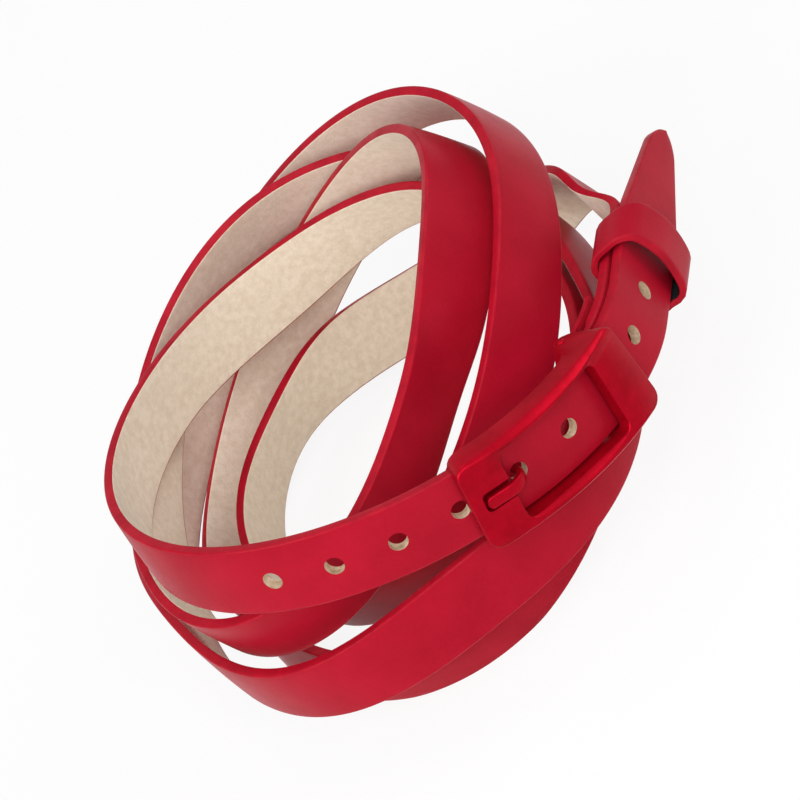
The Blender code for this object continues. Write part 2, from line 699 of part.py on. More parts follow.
def build():
    for thing in list(bpy.data.objects):
        bpy.data.objects.remove(thing)
    tail = Tail(*strap_path())
    leather = finish_material("red_leather", RED_LEATHER, 0.32, 0.0)
    lining = finish_material("beige_lining", BEIGE_LINING, 0.9, 0.0)
    lacquer = finish_material("red_lacquer", RED_LACQUER, 0.28, 0.0)
    bar_lacquer = finish_material("bar_lacquer", RED_LACQUER, 0.28, 0.0)
    prong_lacquer = finish_material("prong_lacquer", RED_LACQUER, 0.28, 0.0)
    keeper_red = finish_material("keeper_red_leather", RED_LEATHER, 0.32, 0.0)
    keeper_black = finish_material("keeper_black_lining", BLACK_LINING, 0.8, 0.0)

    nothing = np.zeros(3)
    holes = hole_tools(tail)
    slot_half = FOLD_SLOT_WIDTH / 2
    slot_low = (BAR_AT - SLOT_DEPTH, -slot_half, BAR_DEPTH - SLOT_DEPTH)
    slot = box(slot_low, (BAR_AT + SLOT_REACH, slot_half, -THICKNESS))
    cuts = [("DIFFERENCE", shape) for shape in holes]
    slot_cut = ("DIFFERENCE", tail.straight_shape(slot, BAR_AT))
    leather_shape = carved("leather_work", strap_leather_shape(tail), cuts + [slot_cut])
    lining_shape = carved("lining_work", strap_lining_shape(tail), cuts)
    pieces = [
        add_node("strap_leather", leather_shape, leather, nothing),
        add_node("strap_lining", lining_shape, lining, nothing),
    ]

    point, _, _, outward = tail.axes(BAR_AT)
    bar_pivot = point + BAR_DEPTH * outward
    bar = cross_pin(BAR_AT, BAR_DEPTH, BAR_RADIUS, FRAME_OUTER + BAR_STAND_OUT)
    pieces += [
        add_node("buckle_frame", tail.bend_shape(frame_shape()), lacquer, bar_pivot),
        add_node("pivot_bar", tail.straight_shape(bar, BAR_AT), bar_lacquer, bar_pivot),
        add_node("buckle_prong", tail.bend_shape(prong_shape()), prong_lacquer, bar_pivot),
    ]

    keeper_pivot = tail.axes(KEEPER_AT)[0]
    outer_layer = keeper_layer(KEEPER_LINING + GLUE_LINE, KEEPER_WALL)
    inner_layer = keeper_layer(0, KEEPER_LINING)
    pieces += [
        add_node("keeper_leather", tail.bend_shape(outer_layer), keeper_red, keeper_pivot),
        add_node("keeper_lining", tail.bend_shape(inner_layer), keeper_black, keeper_pivot),
    ]
    bpy.context.view_layer.update()
    corners = np.array([thing.matrix_world @ Vector(c) for thing in pieces for c in thing.bound_box])
    middle = (corners.min(0) + corners.max(0)) / 2
    for thing in pieces:
        thing.location -= Vector((middle[0], middle[1], 0))
        for polygon in thing.data.polygons:
            polygon.use_smooth = thing.name in ("pivot_bar", "buckle_prong")


build()
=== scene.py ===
"""Looks of the leather wrap strap: leather, lining, lacquered buckle, prong and keeper, on a pale floor.

The strap follows the same winding as its solids: a middle line given by radius and height by turns.
Lengths are in millimetres while a shape is worked out, and turn to metres when it becomes a mesh.
"""
import functools
import json
import math

import bmesh
import bpy
import numpy as np
from bpy.props import FloatProperty, FloatVectorProperty, PointerProperty
from mathutils import Matrix, Vector


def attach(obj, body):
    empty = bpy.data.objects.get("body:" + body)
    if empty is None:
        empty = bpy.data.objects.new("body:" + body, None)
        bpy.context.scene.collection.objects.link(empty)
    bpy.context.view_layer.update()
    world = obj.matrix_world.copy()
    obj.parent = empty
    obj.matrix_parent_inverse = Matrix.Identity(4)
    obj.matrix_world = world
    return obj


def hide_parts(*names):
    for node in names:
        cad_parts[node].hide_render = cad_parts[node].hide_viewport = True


bl_info = {
    "name": "Leather wrap strap",
    "version": (1, 0, 0),
    "blender": (4, 5, 0),
    "location": "View3D > Sidebar > Wrap strap",
    "description": "Dresses the wound leather strap, its buckle and its keeper, and sets them on a floor",
    "category": "Object",
}

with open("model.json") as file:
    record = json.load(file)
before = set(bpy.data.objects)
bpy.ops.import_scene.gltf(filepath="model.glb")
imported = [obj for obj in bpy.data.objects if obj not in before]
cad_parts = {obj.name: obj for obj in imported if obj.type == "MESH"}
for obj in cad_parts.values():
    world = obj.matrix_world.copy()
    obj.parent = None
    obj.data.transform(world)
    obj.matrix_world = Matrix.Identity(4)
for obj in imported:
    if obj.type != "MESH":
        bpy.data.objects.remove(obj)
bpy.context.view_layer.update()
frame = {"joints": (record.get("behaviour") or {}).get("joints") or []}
MM = 0.001

# Sizes of the solids in millimetres
STRAP_WIDTH = 9.0
LEATHER_THICKNESS = 0.8
LINING_THICKNESS = 0.45
GLUE_LINE = 0.05
STRAND_GAP = 0.75
TIP_LENGTH = 17.0
TIP_POINT_WIDTH = 3.4
HOLE_RADIUS = 1.1
HOLE_PITCH = 7.3
HOLES_EACH_WAY = 4
FOLD_LENGTH = 11.0
FOLD_SLOT_WIDTH = 2.8
BUCKLE_LENGTH = 24.2
FRAME_RAIL = 1.1
FRAME_SIDE_PLAY = 0.2
FRAME_LIFT = 0.45
FRAME_PLATE = 1.6
FRAME_SKIRT = 0.6
FRAME_CORNER = 1.6
WINDOW_START = 4.8
WINDOW_END = 19.1
WINDOW_CORNER = 1.0
PRONG_HOLE_AT = 6.5
BAR_AT = 21.5
BAR_RADIUS = 0.6
BAR_PLAY = 0.1
BAR_STAND_OUT = 0.25
PRONG_HALF_WIDTH = 0.7
PRONG_HALF_HEIGHT = 0.5
PRONG_EYE_WIDTH = 2.0
PRONG_EYE_WALL = 0.6
PRONG_SWING_ROOM = 1.2
PRONG_BEND = 1.5
NOTCH_END = 1.4
NOTCH_HALF = 1.0
NOTCH_PLAY = 0.3
NOTCH_FLOOR_THICKNESS = 0.5
KEEPER_AT = 41.8
KEEPER_WIDTH = 6.0
KEEPER_WALL = 0.8
KEEPER_LINING = 0.25
KEEPER_HEADROOM = 0.6
KEEPER_SIDE_ROOM = 0.4
KEEPER_CORNER = 1.3
LAYER_PLAY = 0.5
STACK_MARGIN = 3.0
FOOT_CUT = 0.5
TAIL_STRAIGHT = 27.0
EAR_HALF = 1.1
WALL_INSET = 0.05
TOOL_OVERSHOOT = 1.0
SLOT_DEPTH = 3.0
SLOT_REACH = 2.4

# Sizes of the looks alone in millimetres
LINING_START = 5.3
LINING_PROUD = 0.06
LINING_CLEARANCE = 0.02
LINING_ROUNDING = 0.12
LEAST_LINING_HALF = 0.05
KEEPER_LINING_ROUNDING = 0.08
KEEPER_FOOT_RADIUS = 0.18
BAR_DOME = 0.25
EAR_REACH = 3.4
PRONG_END_ROUNDING = 0.5

# Shares of a piece's own size
LEAST_TIP = 0.003
STUB_LEG = 0.04
MOST_EDGE = 0.4
MOST_ROUNDING = 0.3
MOST_PAINT = 0.5
FOOT_LIP = 0.1
BEVEL_LIP = 0.3
BEVEL_DROP = 0.1
NOTCH_ROUNDING = 0.5
PRONG_END_HEIGHT = 0.4
PRONG_END_LEAST = 0.05

# How the winding is laid down: two leans in degrees, about X and then about Y
LEAN_ABOUT_X = -8.3
LEAN_ABOUT_Y = 11.4

# The winding: radius and height of the middle line in eighths of a turn, one row for each turn
ROUTE_TURNS = (
    ((34.8, 2.5), (34.5, -6.5), (25.0, -8.5), (22.0, -12.0),
     (19.5, -16.0), (19.0, -15.5), (20.0, -9.5), (24.0, 3.0)),
    ((28.0, 13.0), (32.5, 16.0), (36.0, 5.0), (37.0, -12.0),
     (30.5, -15.6), (31.0, -16.4), (30.0, -11.5), (31.0, -10.0)),
    ((31.0, -1.5), (31.5, 6.5), (31.5, 9.5), (29.5, 1.5),
     (30.5, -7.2), (32.0, -8.2), (20.0, 1.0), (17.5, 9.5)),
    ((21.5, 16.5), (27.0, 14.5), (30.5, -1.0), (29.0, -17.0),
     (24.5, -19.5), (24.5, -21.0), (25.5, -19.5), (25.5, -11.0)),
    ((29.0, -3.0), (27.0, 6.5), (25.0, 4.5), (25.0, 4.0),
     (30.0, 2.5), (33.0, 2.0), (33.0, 1.0), (34.5, 0.5)),
)
ROUTE_END = (34.9, 2.0)
BUCKLE_MIDDLE_TURN = 4.823
TAIL_LEAVES_TURN = 4.961
BUCKLE_END_LEAVES_TURN = 0.004
FREE_START_TURN = 0.05
TAIL_FIXED_TURN = 4.64
TAIL_TABLE_TURN = 4.5
TAIL_TWIST = 18.0
TWISTED_CROSSINGS = (0, 2, 4, 5)
TWIST_COMES = (-0.25, -0.05)
TWIST_GOES = (0.02, 0.15)
LAYER_BLEND_TURNS = 0.1

# Sampling of the winding, as in its solids, and of the finer surfaces laid on it
KNOTS_PER_TURN = 8
TIED_KNOTS = 5
SAMPLES_PER_TURN = 40
TIP_STEPS = 18
EASING_ROUNDS = 200
AXIS_SPREAD = 0.07
PUSH_SPREAD = 0.05
RADIUS_SPREAD = 0.03
LEAST_RISE = 0.3
LEAST_SQUARE = 0.5
STATION_SPACING = 0.8
FACE_STEPS = 13
ARC_STEPS = 5
FOLD_STEPS = 13
POINT_STEPS = 32
RAIL_STEPS = (32, 10)
NOTCH_STEPS = (4, 2)
KEEPER_STEPS = (8, 20)
PRONG_STEPS = 110
PRONG_CROWDING = 1.25
HOLE_SIDES = 40
PIN_SIDES = 32
SHARP_ANGLE = math.radians(38)

TAIL_MM_PER_TURN = 2 * math.pi * ROUTE_TURNS[-1][-1][0]
THICKNESS = LEATHER_THICKNESS + GLUE_LINE + LINING_THICKNESS
LAYER_DROP = THICKNESS + LAYER_PLAY
LEATHER_MIDDLE = (THICKNESS - LEATHER_THICKNESS) / 2
LEATHER_UNDER = THICKNESS / 2 - LEATHER_THICKNESS
FOLD_RADIUS = BAR_RADIUS + BAR_PLAY + LEATHER_THICKNESS / 2
BAR_DEPTH = -LAYER_DROP + LEATHER_MIDDLE - FOLD_RADIUS
FRAME_INNER = STRAP_WIDTH / 2 + FRAME_SIDE_PLAY
FRAME_OUTER = FRAME_INNER + FRAME_RAIL
FRAME_BOTTOM = THICKNESS / 2 + FRAME_LIFT
FRAME_TOP = FRAME_BOTTOM + FRAME_PLATE
FOLD_DEPTH = -BAR_DEPTH + FOLD_RADIUS + LEATHER_THICKNESS / 2
KEEPER_BOTTOM = -(LAYER_DROP + THICKNESS / 2 + LAYER_PLAY)
KEEPER_TOP = THICKNESS / 2 + KEEPER_HEADROOM
KEEPER_HALF = STRAP_WIDTH / 2 + KEEPER_SIDE_ROOM
NOTCH_FLOOR = FRAME_BOTTOM + NOTCH_FLOOR_THICKNESS
PRONG_REST = NOTCH_FLOOR + NOTCH_PLAY + PRONG_HALF_HEIGHT
PRONG_RUN_DEPTH = -(THICKNESS / 2 + PRONG_SWING_ROOM + PRONG_HALF_HEIGHT)

# Where the camera stands: degrees round and up, its roll, its distance and the point it looks at
CAMERA_AZIMUTH = 8.87
CAMERA_ELEVATION = 37.41
CAMERA_ROLL = -45.41
CAMERA_VIEW = 11.5
CAMERA_DISTANCE = 0.45
CAMERA_NEAR = 0.01
CAMERA_TARGET = (-0.00201, -0.00247, 0.01663)

# The lamps and the floor in metres, and where each lamp hangs
SOFTBOX_SIZE = 0.45
SOFTBOX_DISTANCE = 0.7
FLOOR_HALF = 1.5
LAMP_DIRECTIONS = {
    "left": (-0.72, -0.46, 0.56),
    "front": (0.12, -0.78, 0.65),
    "right": (0.85, 0.0, 0.5),
    "top": (0.0, 0.3, 1.0),
}

# How noise becomes tone: the spans of patch and grain that count, and what the grain adds
PATCH_SPAN = (0.32, 0.68)
GRAIN_SPAN = (0.3, 0.7)
GRAIN_SHARE = 0.25


def linear(code):
    """Linear red, green and blue of an sRGB hex code."""
    parts = np.array([int(code[i:i + 2], 16) for i in (0, 2, 4)]) / 255
    low = parts / 12.92
    high = ((parts + 0.055) / 1.055) ** 2.4
    return tuple(float(x) for x in np.where(parts <= 0.04045, low, high))


def length_property(name, description, millimetres):
    return FloatProperty(name=name, description=description, default=millimetres * MM, min=0.0,
                         unit="LENGTH", precision=5)


def power_property(name, description, watts):
    return FloatProperty(name=name, description=description, default=watts, min=0.0, unit="POWER")


def colour_property(name, description, code):
    return FloatVectorProperty(name=name, description=description, default=linear(code), size=3,
                               subtype="COLOR", min=0.0, max=1.0)


class StrapLooks(bpy.types.PropertyGroup):
    """Sizes and colours of the strap's leather and lining"""
    crown: length_property("Crown", "How much the outer face stands up in its middle", 0.1)
    edge_radius: length_property("Edge radius", "Rounding of the outer corners", 0.24)
    foot_radius: length_property("Foot radius", "Rounding of the inner corners of the painted edge", 0.05)
    paint_width: length_property("Paint width", "How far the edge paint comes in over the lining", 0.06)
    point_length: length_property("Point length", "How far back from the tip its rounding reaches", 3.6)
    leather_colour: colour_property("Leather", "Main colour of the finished leather", "B4132B")
    leather_deep: colour_property("Leather, deep", "Colour where the dye lies thicker", "A40E24")
    paint_colour: colour_property("Edge paint", "Colour of the painted edges", "B81329")
    lining_colour: colour_property("Lining", "Main colour of the suede lining", "F2E3CF")
    lining_deep: colour_property("Lining, deep", "Colour between the fibres of the lining", "E4D2BA")
    raw_colour: colour_property("Cut leather", "Colour of the leather's core in the holes", "E6D2B8")
    raw_deep: colour_property("Cut leather, deep", "Colour between the fibres of the core", "BC9E7C")


class BuckleLooks(bpy.types.PropertyGroup):
    """Sizes and colours of the buckle and the prong"""
    rail_bevel: length_property("Rail bevel", "Width of the outer bevel at the frame's ends", 0.22)
    window_bevel: length_property("Window bevel", "Width of the window's bevel at its ends", 0.12)
    rail_swell: length_property("Rail swell", "How much wider the bevel is at the middle of a rail", 0.55)
    edge_round: length_property("Edge rounding", "Rounding of the lacquered edges", 0.06)
    notch_room: length_property("Notch room", "How much wider the notch is on its upper side", 0.45)
    prong_half_width: length_property("Prong half width", "Half the width of the prong's flat end", 0.8)
    prong_aside: length_property("Prong aside", "How far the prong lies to one side of its notch", 0.14)
    prong_sink: length_property("Prong sink", "How far the prong lies below its highest place", 0.08)
    lacquer_colour: colour_property("Lacquer", "Main colour of the lacquer", "B00720")
    lacquer_deep: colour_property("Lacquer, deep", "Colour where the lacquer lies thicker", "9A0519")


class KeeperLooks(bpy.types.PropertyGroup):
    """Sizes and colours of the keeper"""
    crown: length_property("Crown", "How much the keeper's front bows out", 1.1)
    slack: length_property("Slack", "How far the keeper's front stands off the tail's right edge", 0.7)
    lean: length_property("Lean", "How far the keeper's front leans towards the tip", 1.8)
    edge_radius: length_property("Edge radius", "Rounding of the keeper's edges", 0.25)
    paint_width: length_property("Paint width", "How far the edge paint comes in over the lining", 0.3)
    # The keeper's two inside colours are painted shade: near black for the deep shade inside the loop.
    lining_colour: colour_property("Lining", "Main colour of the keeper's inside", "1C2122")
    lining_deep: colour_property("Lining, deep", "Colour between its threads", "0C0E10")


class StageLooks(bpy.types.PropertyGroup):
    """Floor and light"""
    floor_colour: colour_property("Floor", "Colour of the floor", "F8F8F7")
    floor_white: FloatProperty(name="Floor white", description="Share of plain white in the floor as seen",
                               default=0.88, min=0.0, max=1.0, subtype="FACTOR")
    left_power: power_property("Left light", "Power of the lamp on the left", 2.7)
    front_power: power_property("Front light", "Power of the lamp beside the camera", 2.7)
    right_power: power_property("Right light", "Power of the lamp on the right", 1.6)
    top_power: power_property("Top light", "Power of the lamp above", 1.2)
    sky: FloatProperty(name="Sky", description="Strength of the even light from all round", default=0.1,
                       min=0.0)


def looks():
    return bpy.context.scene.wrap_strap


# The winding

def natural_spline(knots, values, at):
    """Cubic curve through the values, with no bending at either end."""
    count = len(knots)
    step = np.diff(knots)
    slope = np.diff(values) / step
    matrix = np.eye(count)
    right = np.zeros(count)
    for i in range(1, count - 1):
        matrix[i, i - 1:i + 2] = step[i - 1], 2 * (step[i - 1] + step[i]), step[i]
        right[i] = 6 * (slope[i] - slope[i - 1])
    bend = np.linalg.solve(matrix, right)
    k = np.clip(np.searchsorted(knots, at) - 1, 0, count - 2)
    after = at - knots[k]
    before = knots[k + 1] - at
    cubic = (bend[k] * before ** 3 + bend[k + 1] * after ** 3) / (6 * step[k])
    start = (values[k] / step[k] - bend[k] * step[k] / 6) * before
    end = (values[k + 1] / step[k] - bend[k + 1] * step[k] / 6) * after
    return cubic + start + end


def smoothed(values, spread):
    """Values averaged over their neighbours with a bell curve, ends carried on straight."""
    reach = int(3 * spread)
    bell = np.exp(-0.5 * (np.arange(-reach, reach + 1) / spread) ** 2)
    bell /= bell.sum()
    table = values.reshape(len(values), -1)
    head = 2 * table[:1] - table[reach:0:-1]
    tail = 2 * table[-1:] - table[-2:-reach - 2:-1]
    padded = np.concatenate([head, table, tail])
    columns = [np.convolve(padded[:, i], bell, "valid") for i in range(table.shape[1])]
    return np.stack(columns, 1).reshape(values.shape)


def smooth_step(values, start, end):
    """0 before start, 1 after end, and 3x2 - 2x3 of the share x between them."""
    share = np.clip((values - start) / (end - start), 0, 1)
    return share * share * (3 - 2 * share)


def unit(vectors):
    return vectors / np.linalg.norm(vectors, axis=1)[:, None]


def on_winding(turns, radius, height):
    """Points at a distance from the winding's axis and a height along it."""
    angle = 2 * math.pi * turns
    return np.stack([radius * np.cos(angle), radius * np.sin(angle), height], 1)


def tail_twist(turns):
    """Twist in radians by turns."""
    share = np.zeros(len(turns))
    for crossing in TWISTED_CROSSINGS:
        place = turns - crossing
        share += smooth_step(place, *TWIST_COMES) - smooth_step(place, *TWIST_GOES)
    return math.radians(TAIL_TWIST) * share


def strap_frames(turns, points):
    """Directions along, across and out of the strap: a strip turns about its curve's own bending axis."""
    along = np.gradient(points, axis=0)
    bending = np.gradient(along, axis=0)
    axis = smoothed(np.cross(along, bending), SAMPLES_PER_TURN * AXIS_SPREAD)
    along = unit(along)
    across = unit(axis - (axis * along).sum(1)[:, None] * along)
    outward = np.cross(along, across)
    twist = tail_twist(turns)[:, None]
    turned = across * np.cos(twist) - outward * np.sin(twist)
    return along, turned, np.cross(along, turned)


def route_knots():
    """Turns, radius and height at every eighth of a turn, the first one where the buckle end comes free."""
    rows = np.array([pair for turn in ROUTE_TURNS for pair in turn] + [ROUTE_END])
    knots = np.arange(len(rows)) / KNOTS_PER_TURN
    knots[0] = FREE_START_TURN
    return knots, rows[:, 0], rows[:, 1]


def radial_share(turns, vectors):
    angle = 2 * math.pi * turns
    return vectors[:, 0] * np.cos(angle) + vectors[:, 1] * np.sin(angle)


def bar_turn():
    """Where the buckle end starts, in turns: the bar's place under the tail."""
    ahead = (BAR_AT - BUCKLE_LENGTH / 2) / TAIL_MM_PER_TURN
    return BUCKLE_MIDDLE_TURN + ahead - len(ROUTE_TURNS)


def wound_line():
    """Turns, radius and height of the middle line, with the buckle end laid one layer under the tail."""
    knots, radius, height = route_knots()
    turn_count = len(ROUTE_TURNS)
    tail_turns = np.arange(TAIL_TABLE_TURN, turn_count, 1 / SAMPLES_PER_TURN)
    tail_radius = natural_spline(knots, radius, tail_turns)
    tail_height = natural_spline(knots, height, tail_turns)
    _, _, outward = strap_frames(tail_turns, on_winding(tail_turns, tail_radius, tail_height))
    under_radius = tail_radius - LAYER_DROP * radial_share(tail_turns, outward)
    under_height = tail_height - LAYER_DROP * outward[:, 2]
    first_turn = bar_turn()
    tied = np.linspace(first_turn, BUCKLE_END_LEAVES_TURN, TIED_KNOTS)
    knots = np.concatenate([tied, knots])
    radius = np.concatenate([np.interp(tied + turn_count, tail_turns, under_radius), radius])
    height = np.concatenate([np.interp(tied + turn_count, tail_turns, under_height), height])
    last = math.floor((TAIL_LEAVES_TURN - first_turn) * SAMPLES_PER_TURN)
    turns = first_turn + np.arange(last + 1) / SAMPLES_PER_TURN
    return turns, natural_spline(knots, radius, turns), natural_spline(knots, height, turns)


def strand_depths(turns):
    """Half width and inner depth that each strand keeps clear, more under the buckle and keeper."""
    from_bar = (turns - bar_turn()) * TAIL_MM_PER_TURN
    to_keeper = np.abs(from_bar - (KEEPER_AT - BAR_AT))
    half_width = np.full(len(turns), STRAP_WIDTH / 2)
    half_width[from_bar < EAR_HALF + STACK_MARGIN] = FRAME_OUTER
    half_width[to_keeper < KEEPER_WIDTH / 2 + STACK_MARGIN] = KEEPER_HALF + KEEPER_WALL
    inner = np.where(turns < BUCKLE_END_LEAVES_TURN, FOLD_DEPTH - LAYER_DROP, THICKNESS / 2)
    return half_width, inner


def eased_radius(turns, radius, height):
    """Radius after touching strands are eased apart, each pair keeping its inner and outer order."""
    per_turn = SAMPLES_PER_TURN
    fixed = (turns > TAIL_FIXED_TURN) | (turns < 0.0)
    half_width, inner = strand_depths(turns)
    for _ in range(EASING_ROUNDS):
        _, across, outward = strap_frames(turns, on_winding(turns, radius, height))
        rise = np.maximum(across[:, 2], LEAST_RISE)
        reach = half_width * rise
        lean = radial_share(turns, across) / rise
        square = np.maximum(radial_share(turns, outward), LEAST_SQUARE)
        push = np.zeros(len(turns))
        for apart in range(1, len(ROUTE_TURNS) + 1):
            one = np.arange(len(turns) - apart * per_turn)
            two = one + apart * per_turn
            low = np.maximum((height - reach)[one], (height - reach)[two])
            high = np.minimum((height + reach)[one], (height + reach)[two])
            shared = high - low + STRAND_GAP
            gaps = []
            for level in (low - STRAND_GAP, high + STRAND_GAP):
                radius_one = radius[one] + lean[one] * (level - height[one])
                radius_two = radius[two] + lean[two] * (level - height[two])
                gaps.append(radius_two - radius_one)
            sign = np.where(gaps[0] + gaps[1] >= 0, 1, -1)
            least = np.minimum(gaps[0] * sign, gaps[1] * sign)
            depth = np.where(sign > 0, inner[two], inner[one]) + THICKNESS / 2 + STRAND_GAP
            wanted = depth / np.minimum(square[one], square[two])
            lack = np.maximum(0, wanted - least) * np.clip(shared, 0, 1)
            share_one = np.where(fixed[one], 0.0, np.where(fixed[two], 1.0, 0.5))
            share_two = np.where(fixed[two], 0.0, np.where(fixed[one], 1.0, 0.5))
            push[one] -= sign * lack * share_one / 2
            push[two] += sign * lack * share_two / 2
        push = smoothed(push, per_turn * PUSH_SPREAD)
        push[fixed] = 0.0
        radius = radius + push
    return smoothed(radius, per_turn * RADIUS_SPREAD)


class Path:
    """A strap line with its directions, read anywhere along its run."""

    def __init__(self, points, along, across, outward):
        self.points = points
        self.along = along
        self.across = across
        self.outward = outward
        self.run = np.concatenate([[0], np.cumsum(np.linalg.norm(np.diff(points, axis=0), axis=1))])

    def read(self, table, run):
        return np.stack([natural_spline(self.run, table[:, i], run) for i in range(3)], 1)

    def at(self, run):
        directions = (self.along, self.across, self.outward)
        return self.read(self.points, run), *(unit(self.read(table, run)) for table in directions)


class Tail:
    """Flat strap axes bent on to the tail: along from the buckle's left end, across, and out."""

    def __init__(self, path, start):
        self.path = path
        self.start = start

    def bend(self, flat):
        points, _, across, outward = self.path.at(self.start + flat[:, 0])
        return points + flat[:, 1:2] * across + flat[:, 2:3] * outward

    def axes(self, run):
        return [v[0] for v in self.path.at(np.array([self.start + run]))]

    def straight(self, flat, run):
        """Points kept straight, set in the axes found at one place along the tail."""
        point, along, across, outward = self.axes(run)
        return point + (flat - np.array([run, 0, 0])) @ np.stack([along, across, outward])


def laid_down(vectors):
    """The winding's own axes turned by its two leans."""
    x, y = math.radians(LEAN_ABOUT_X), math.radians(LEAN_ABOUT_Y)
    about_x = np.array([[1, 0, 0], [0, math.cos(x), -math.sin(x)], [0, math.sin(x), math.cos(x)]])
    about_y = np.array([[math.cos(y), 0, math.sin(y)], [0, 1, 0], [-math.sin(y), 0, math.cos(y)]])
    return vectors @ (about_y @ about_x).T


def carried_on(table, steps):
    """A table of directions with its last one held over a straight end."""
    return np.concatenate([table, np.repeat(table[-1:], steps, 0)])


@functools.cache
def strap_tail():
    """The whole strap from its bar to its tip, set where the keeper's joint puts it."""
    turns, radius, height = wound_line()
    points = on_winding(turns, eased_radius(turns, radius, height), height)
    frames = strap_frames(turns, points)
    straight = np.linspace(0, TAIL_STRAIGHT, TIP_STEPS + 1)[1:, None]
    points = np.concatenate([points, points[-1] + straight * frames[0][-1]])
    frames = [carried_on(table, TIP_STEPS) for table in frames]

    first = int(np.searchsorted(turns, TAIL_FIXED_TURN))
    tail = Path(points[first:], *(table[first:] for table in frames))
    start = np.interp(BUCKLE_MIDDLE_TURN, turns[first:], tail.run[:len(turns) - first]) - BUCKLE_LENGTH / 2
    under = int(np.searchsorted(turns, BUCKLE_END_LEAVES_TURN))
    from_bar = (turns[:under] - turns[0]) * TAIL_MM_PER_TURN
    middle, *held = tail.at(start + BAR_AT + from_bar)
    points[:under] = middle - LAYER_DROP * held[2]
    blend = smooth_step(turns, BUCKLE_END_LEAVES_TURN, BUCKLE_END_LEAVES_TURN + LAYER_BLEND_TURNS)[:, None]
    blend = carried_on(blend, TIP_STEPS)
    for i, kept in enumerate(held):
        layer = carried_on(kept, len(points) - under)
        frames[i] = unit(frames[i] * blend + layer * (1 - blend))

    path = Path(laid_down(points), *(laid_down(table) for table in frames))
    floor = (path.points[:, 2] - STRAP_WIDTH / 2 * np.abs(path.across[:, 2])).min()
    path.points[:, 2] -= floor + FOOT_CUT
    tail = Tail(path, path.run[first] + start)
    keeper = next(joint for joint in frame["joints"] if joint["name"] == "keeper_slide")
    path.points += np.array(keeper["pos_m"]) / MM - tail.axes(KEEPER_AT)[0]
    return tail


def half_widths(from_tip, point):
    """Half width of the strap by distance from its tip: a long taper and a half ellipse for the point."""
    taper = (STRAP_WIDTH - TIP_POINT_WIDTH) / TIP_LENGTH
    half = np.minimum(STRAP_WIDTH, TIP_POINT_WIDTH + taper * from_tip) / 2
    inside = np.clip(from_tip / point, 0, 1)
    return half * np.sqrt(np.maximum(1 - (1 - inside) ** 2, LEAST_TIP))


def fine_runs(start, end, point):
    """Places along the strap, evenly spaced and then closer and closer over its rounded point."""
    even = np.linspace(start, end - point, int((end - point - start) / STATION_SPACING))
    share = np.linspace(0, 1, POINT_STEPS + 1)[1:]
    return np.concatenate([even, end - point * (1 - share) ** 2])


# Meshes

def grid_faces(rows, size, closed):
    """Quads between neighbouring loops of equal size, the last loop joined to the first where closed."""
    i = np.arange(rows if closed else rows - 1)[:, None]
    j = np.arange(size)[None]
    here, there = i * size, (i + 1) % rows * size
    ahead = (j + 1) % size
    return np.stack([here + j, here + ahead, there + ahead, there + j], 2).reshape(-1, 4)


def new_mesh(name, loops, closed, materials, slots=None):
    """A closed mesh in metres from an array of loops, with flat ends where the row isn't closed.

    slots gives each loop edge's material, the same for every row.
    """
    rows, size = loops.shape[:2]
    faces = grid_faces(rows, size, closed).tolist()
    if not closed:
        faces += [list(range(size)), list(range((rows - 1) * size, rows * size))]
    mesh = bpy.data.meshes.new(name)
    mesh.from_pydata((loops.reshape(-1, 3) * MM).tolist(), [], faces)
    for material in materials:
        mesh.materials.append(material)
    if slots is not None:
        table = np.zeros(len(faces), np.int32)
        band = np.tile(slots, rows if closed else rows - 1)
        table[:len(band)] = band
        mesh.polygons.foreach_set("material_index", table)
    work = bmesh.new()
    work.from_mesh(mesh)
    bmesh.ops.recalc_face_normals(work, faces=work.faces)
    work.to_mesh(mesh)
    work.free()
    return mesh


def new_object(name, mesh):
    thing = bpy.data.objects.new(name, mesh)
    bpy.context.scene.collection.objects.link(thing)
    return thing


def new_piece(name, loops, closed, materials, slots=None):
    return new_object(name, new_mesh(name, loops, closed, materials, slots))


def carve(thing, cuts, joined=()):
    """Joins and then cuts other meshes into an object, each keeping its own material, and removes them."""
    tools = []
    steps = [("UNION", mesh) for mesh in joined] + [("DIFFERENCE", mesh) for mesh in cuts]
    for operation, mesh in steps:
        tool = new_object(thing.name + "_tool", mesh)
        tools.append(tool)
        modifier = thing.modifiers.new(operation.lower(), "BOOLEAN")
        modifier.operation = operation
        modifier.solver = "EXACT"
        modifier.material_mode = "TRANSFER"
        modifier.object = tool
    bpy.context.view_layer.update()
    done = thing.evaluated_get(bpy.context.evaluated_depsgraph_get())
    mesh = bpy.data.meshes.new_from_object(done)
    thing.modifiers.clear()
    thing.data = mesh
    for tool in tools:
        bpy.data.objects.remove(tool)


def shade(thing):
    """Smooth shading that keeps the real corners."""
    thing.data.shade_smooth()
    thing.data.set_sharp_from_angle(angle=SHARP_ANGLE)


def bend_to_tail(thing):
    """A mesh drawn flat along the tail's axes, its vertices moved on to the bent tail."""
    flat = np.empty(len(thing.data.vertices) * 3)
    thing.data.vertices.foreach_get("co", flat)
    bent = strap_tail().bend(flat.reshape(-1, 3) / MM) * MM
    thing.data.vertices.foreach_set("co", bent.ravel())
    thing.data.update()


def dress(thing, body, nodes):
    """Shades a finished piece, sets it on its body and hides the solids that it stands for."""
    shade(thing)
    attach(thing, body)
    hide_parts(*nodes)


def box_loops(low, high):
    """Two square loops of a box between two corners."""
    ends = [[(x, low[1], low[2]), (x, high[1], low[2]), (x, high[1], high[2]), (x, low[1], high[2])]
            for x in (low[0], high[0])]
    return np.array(ends, float)


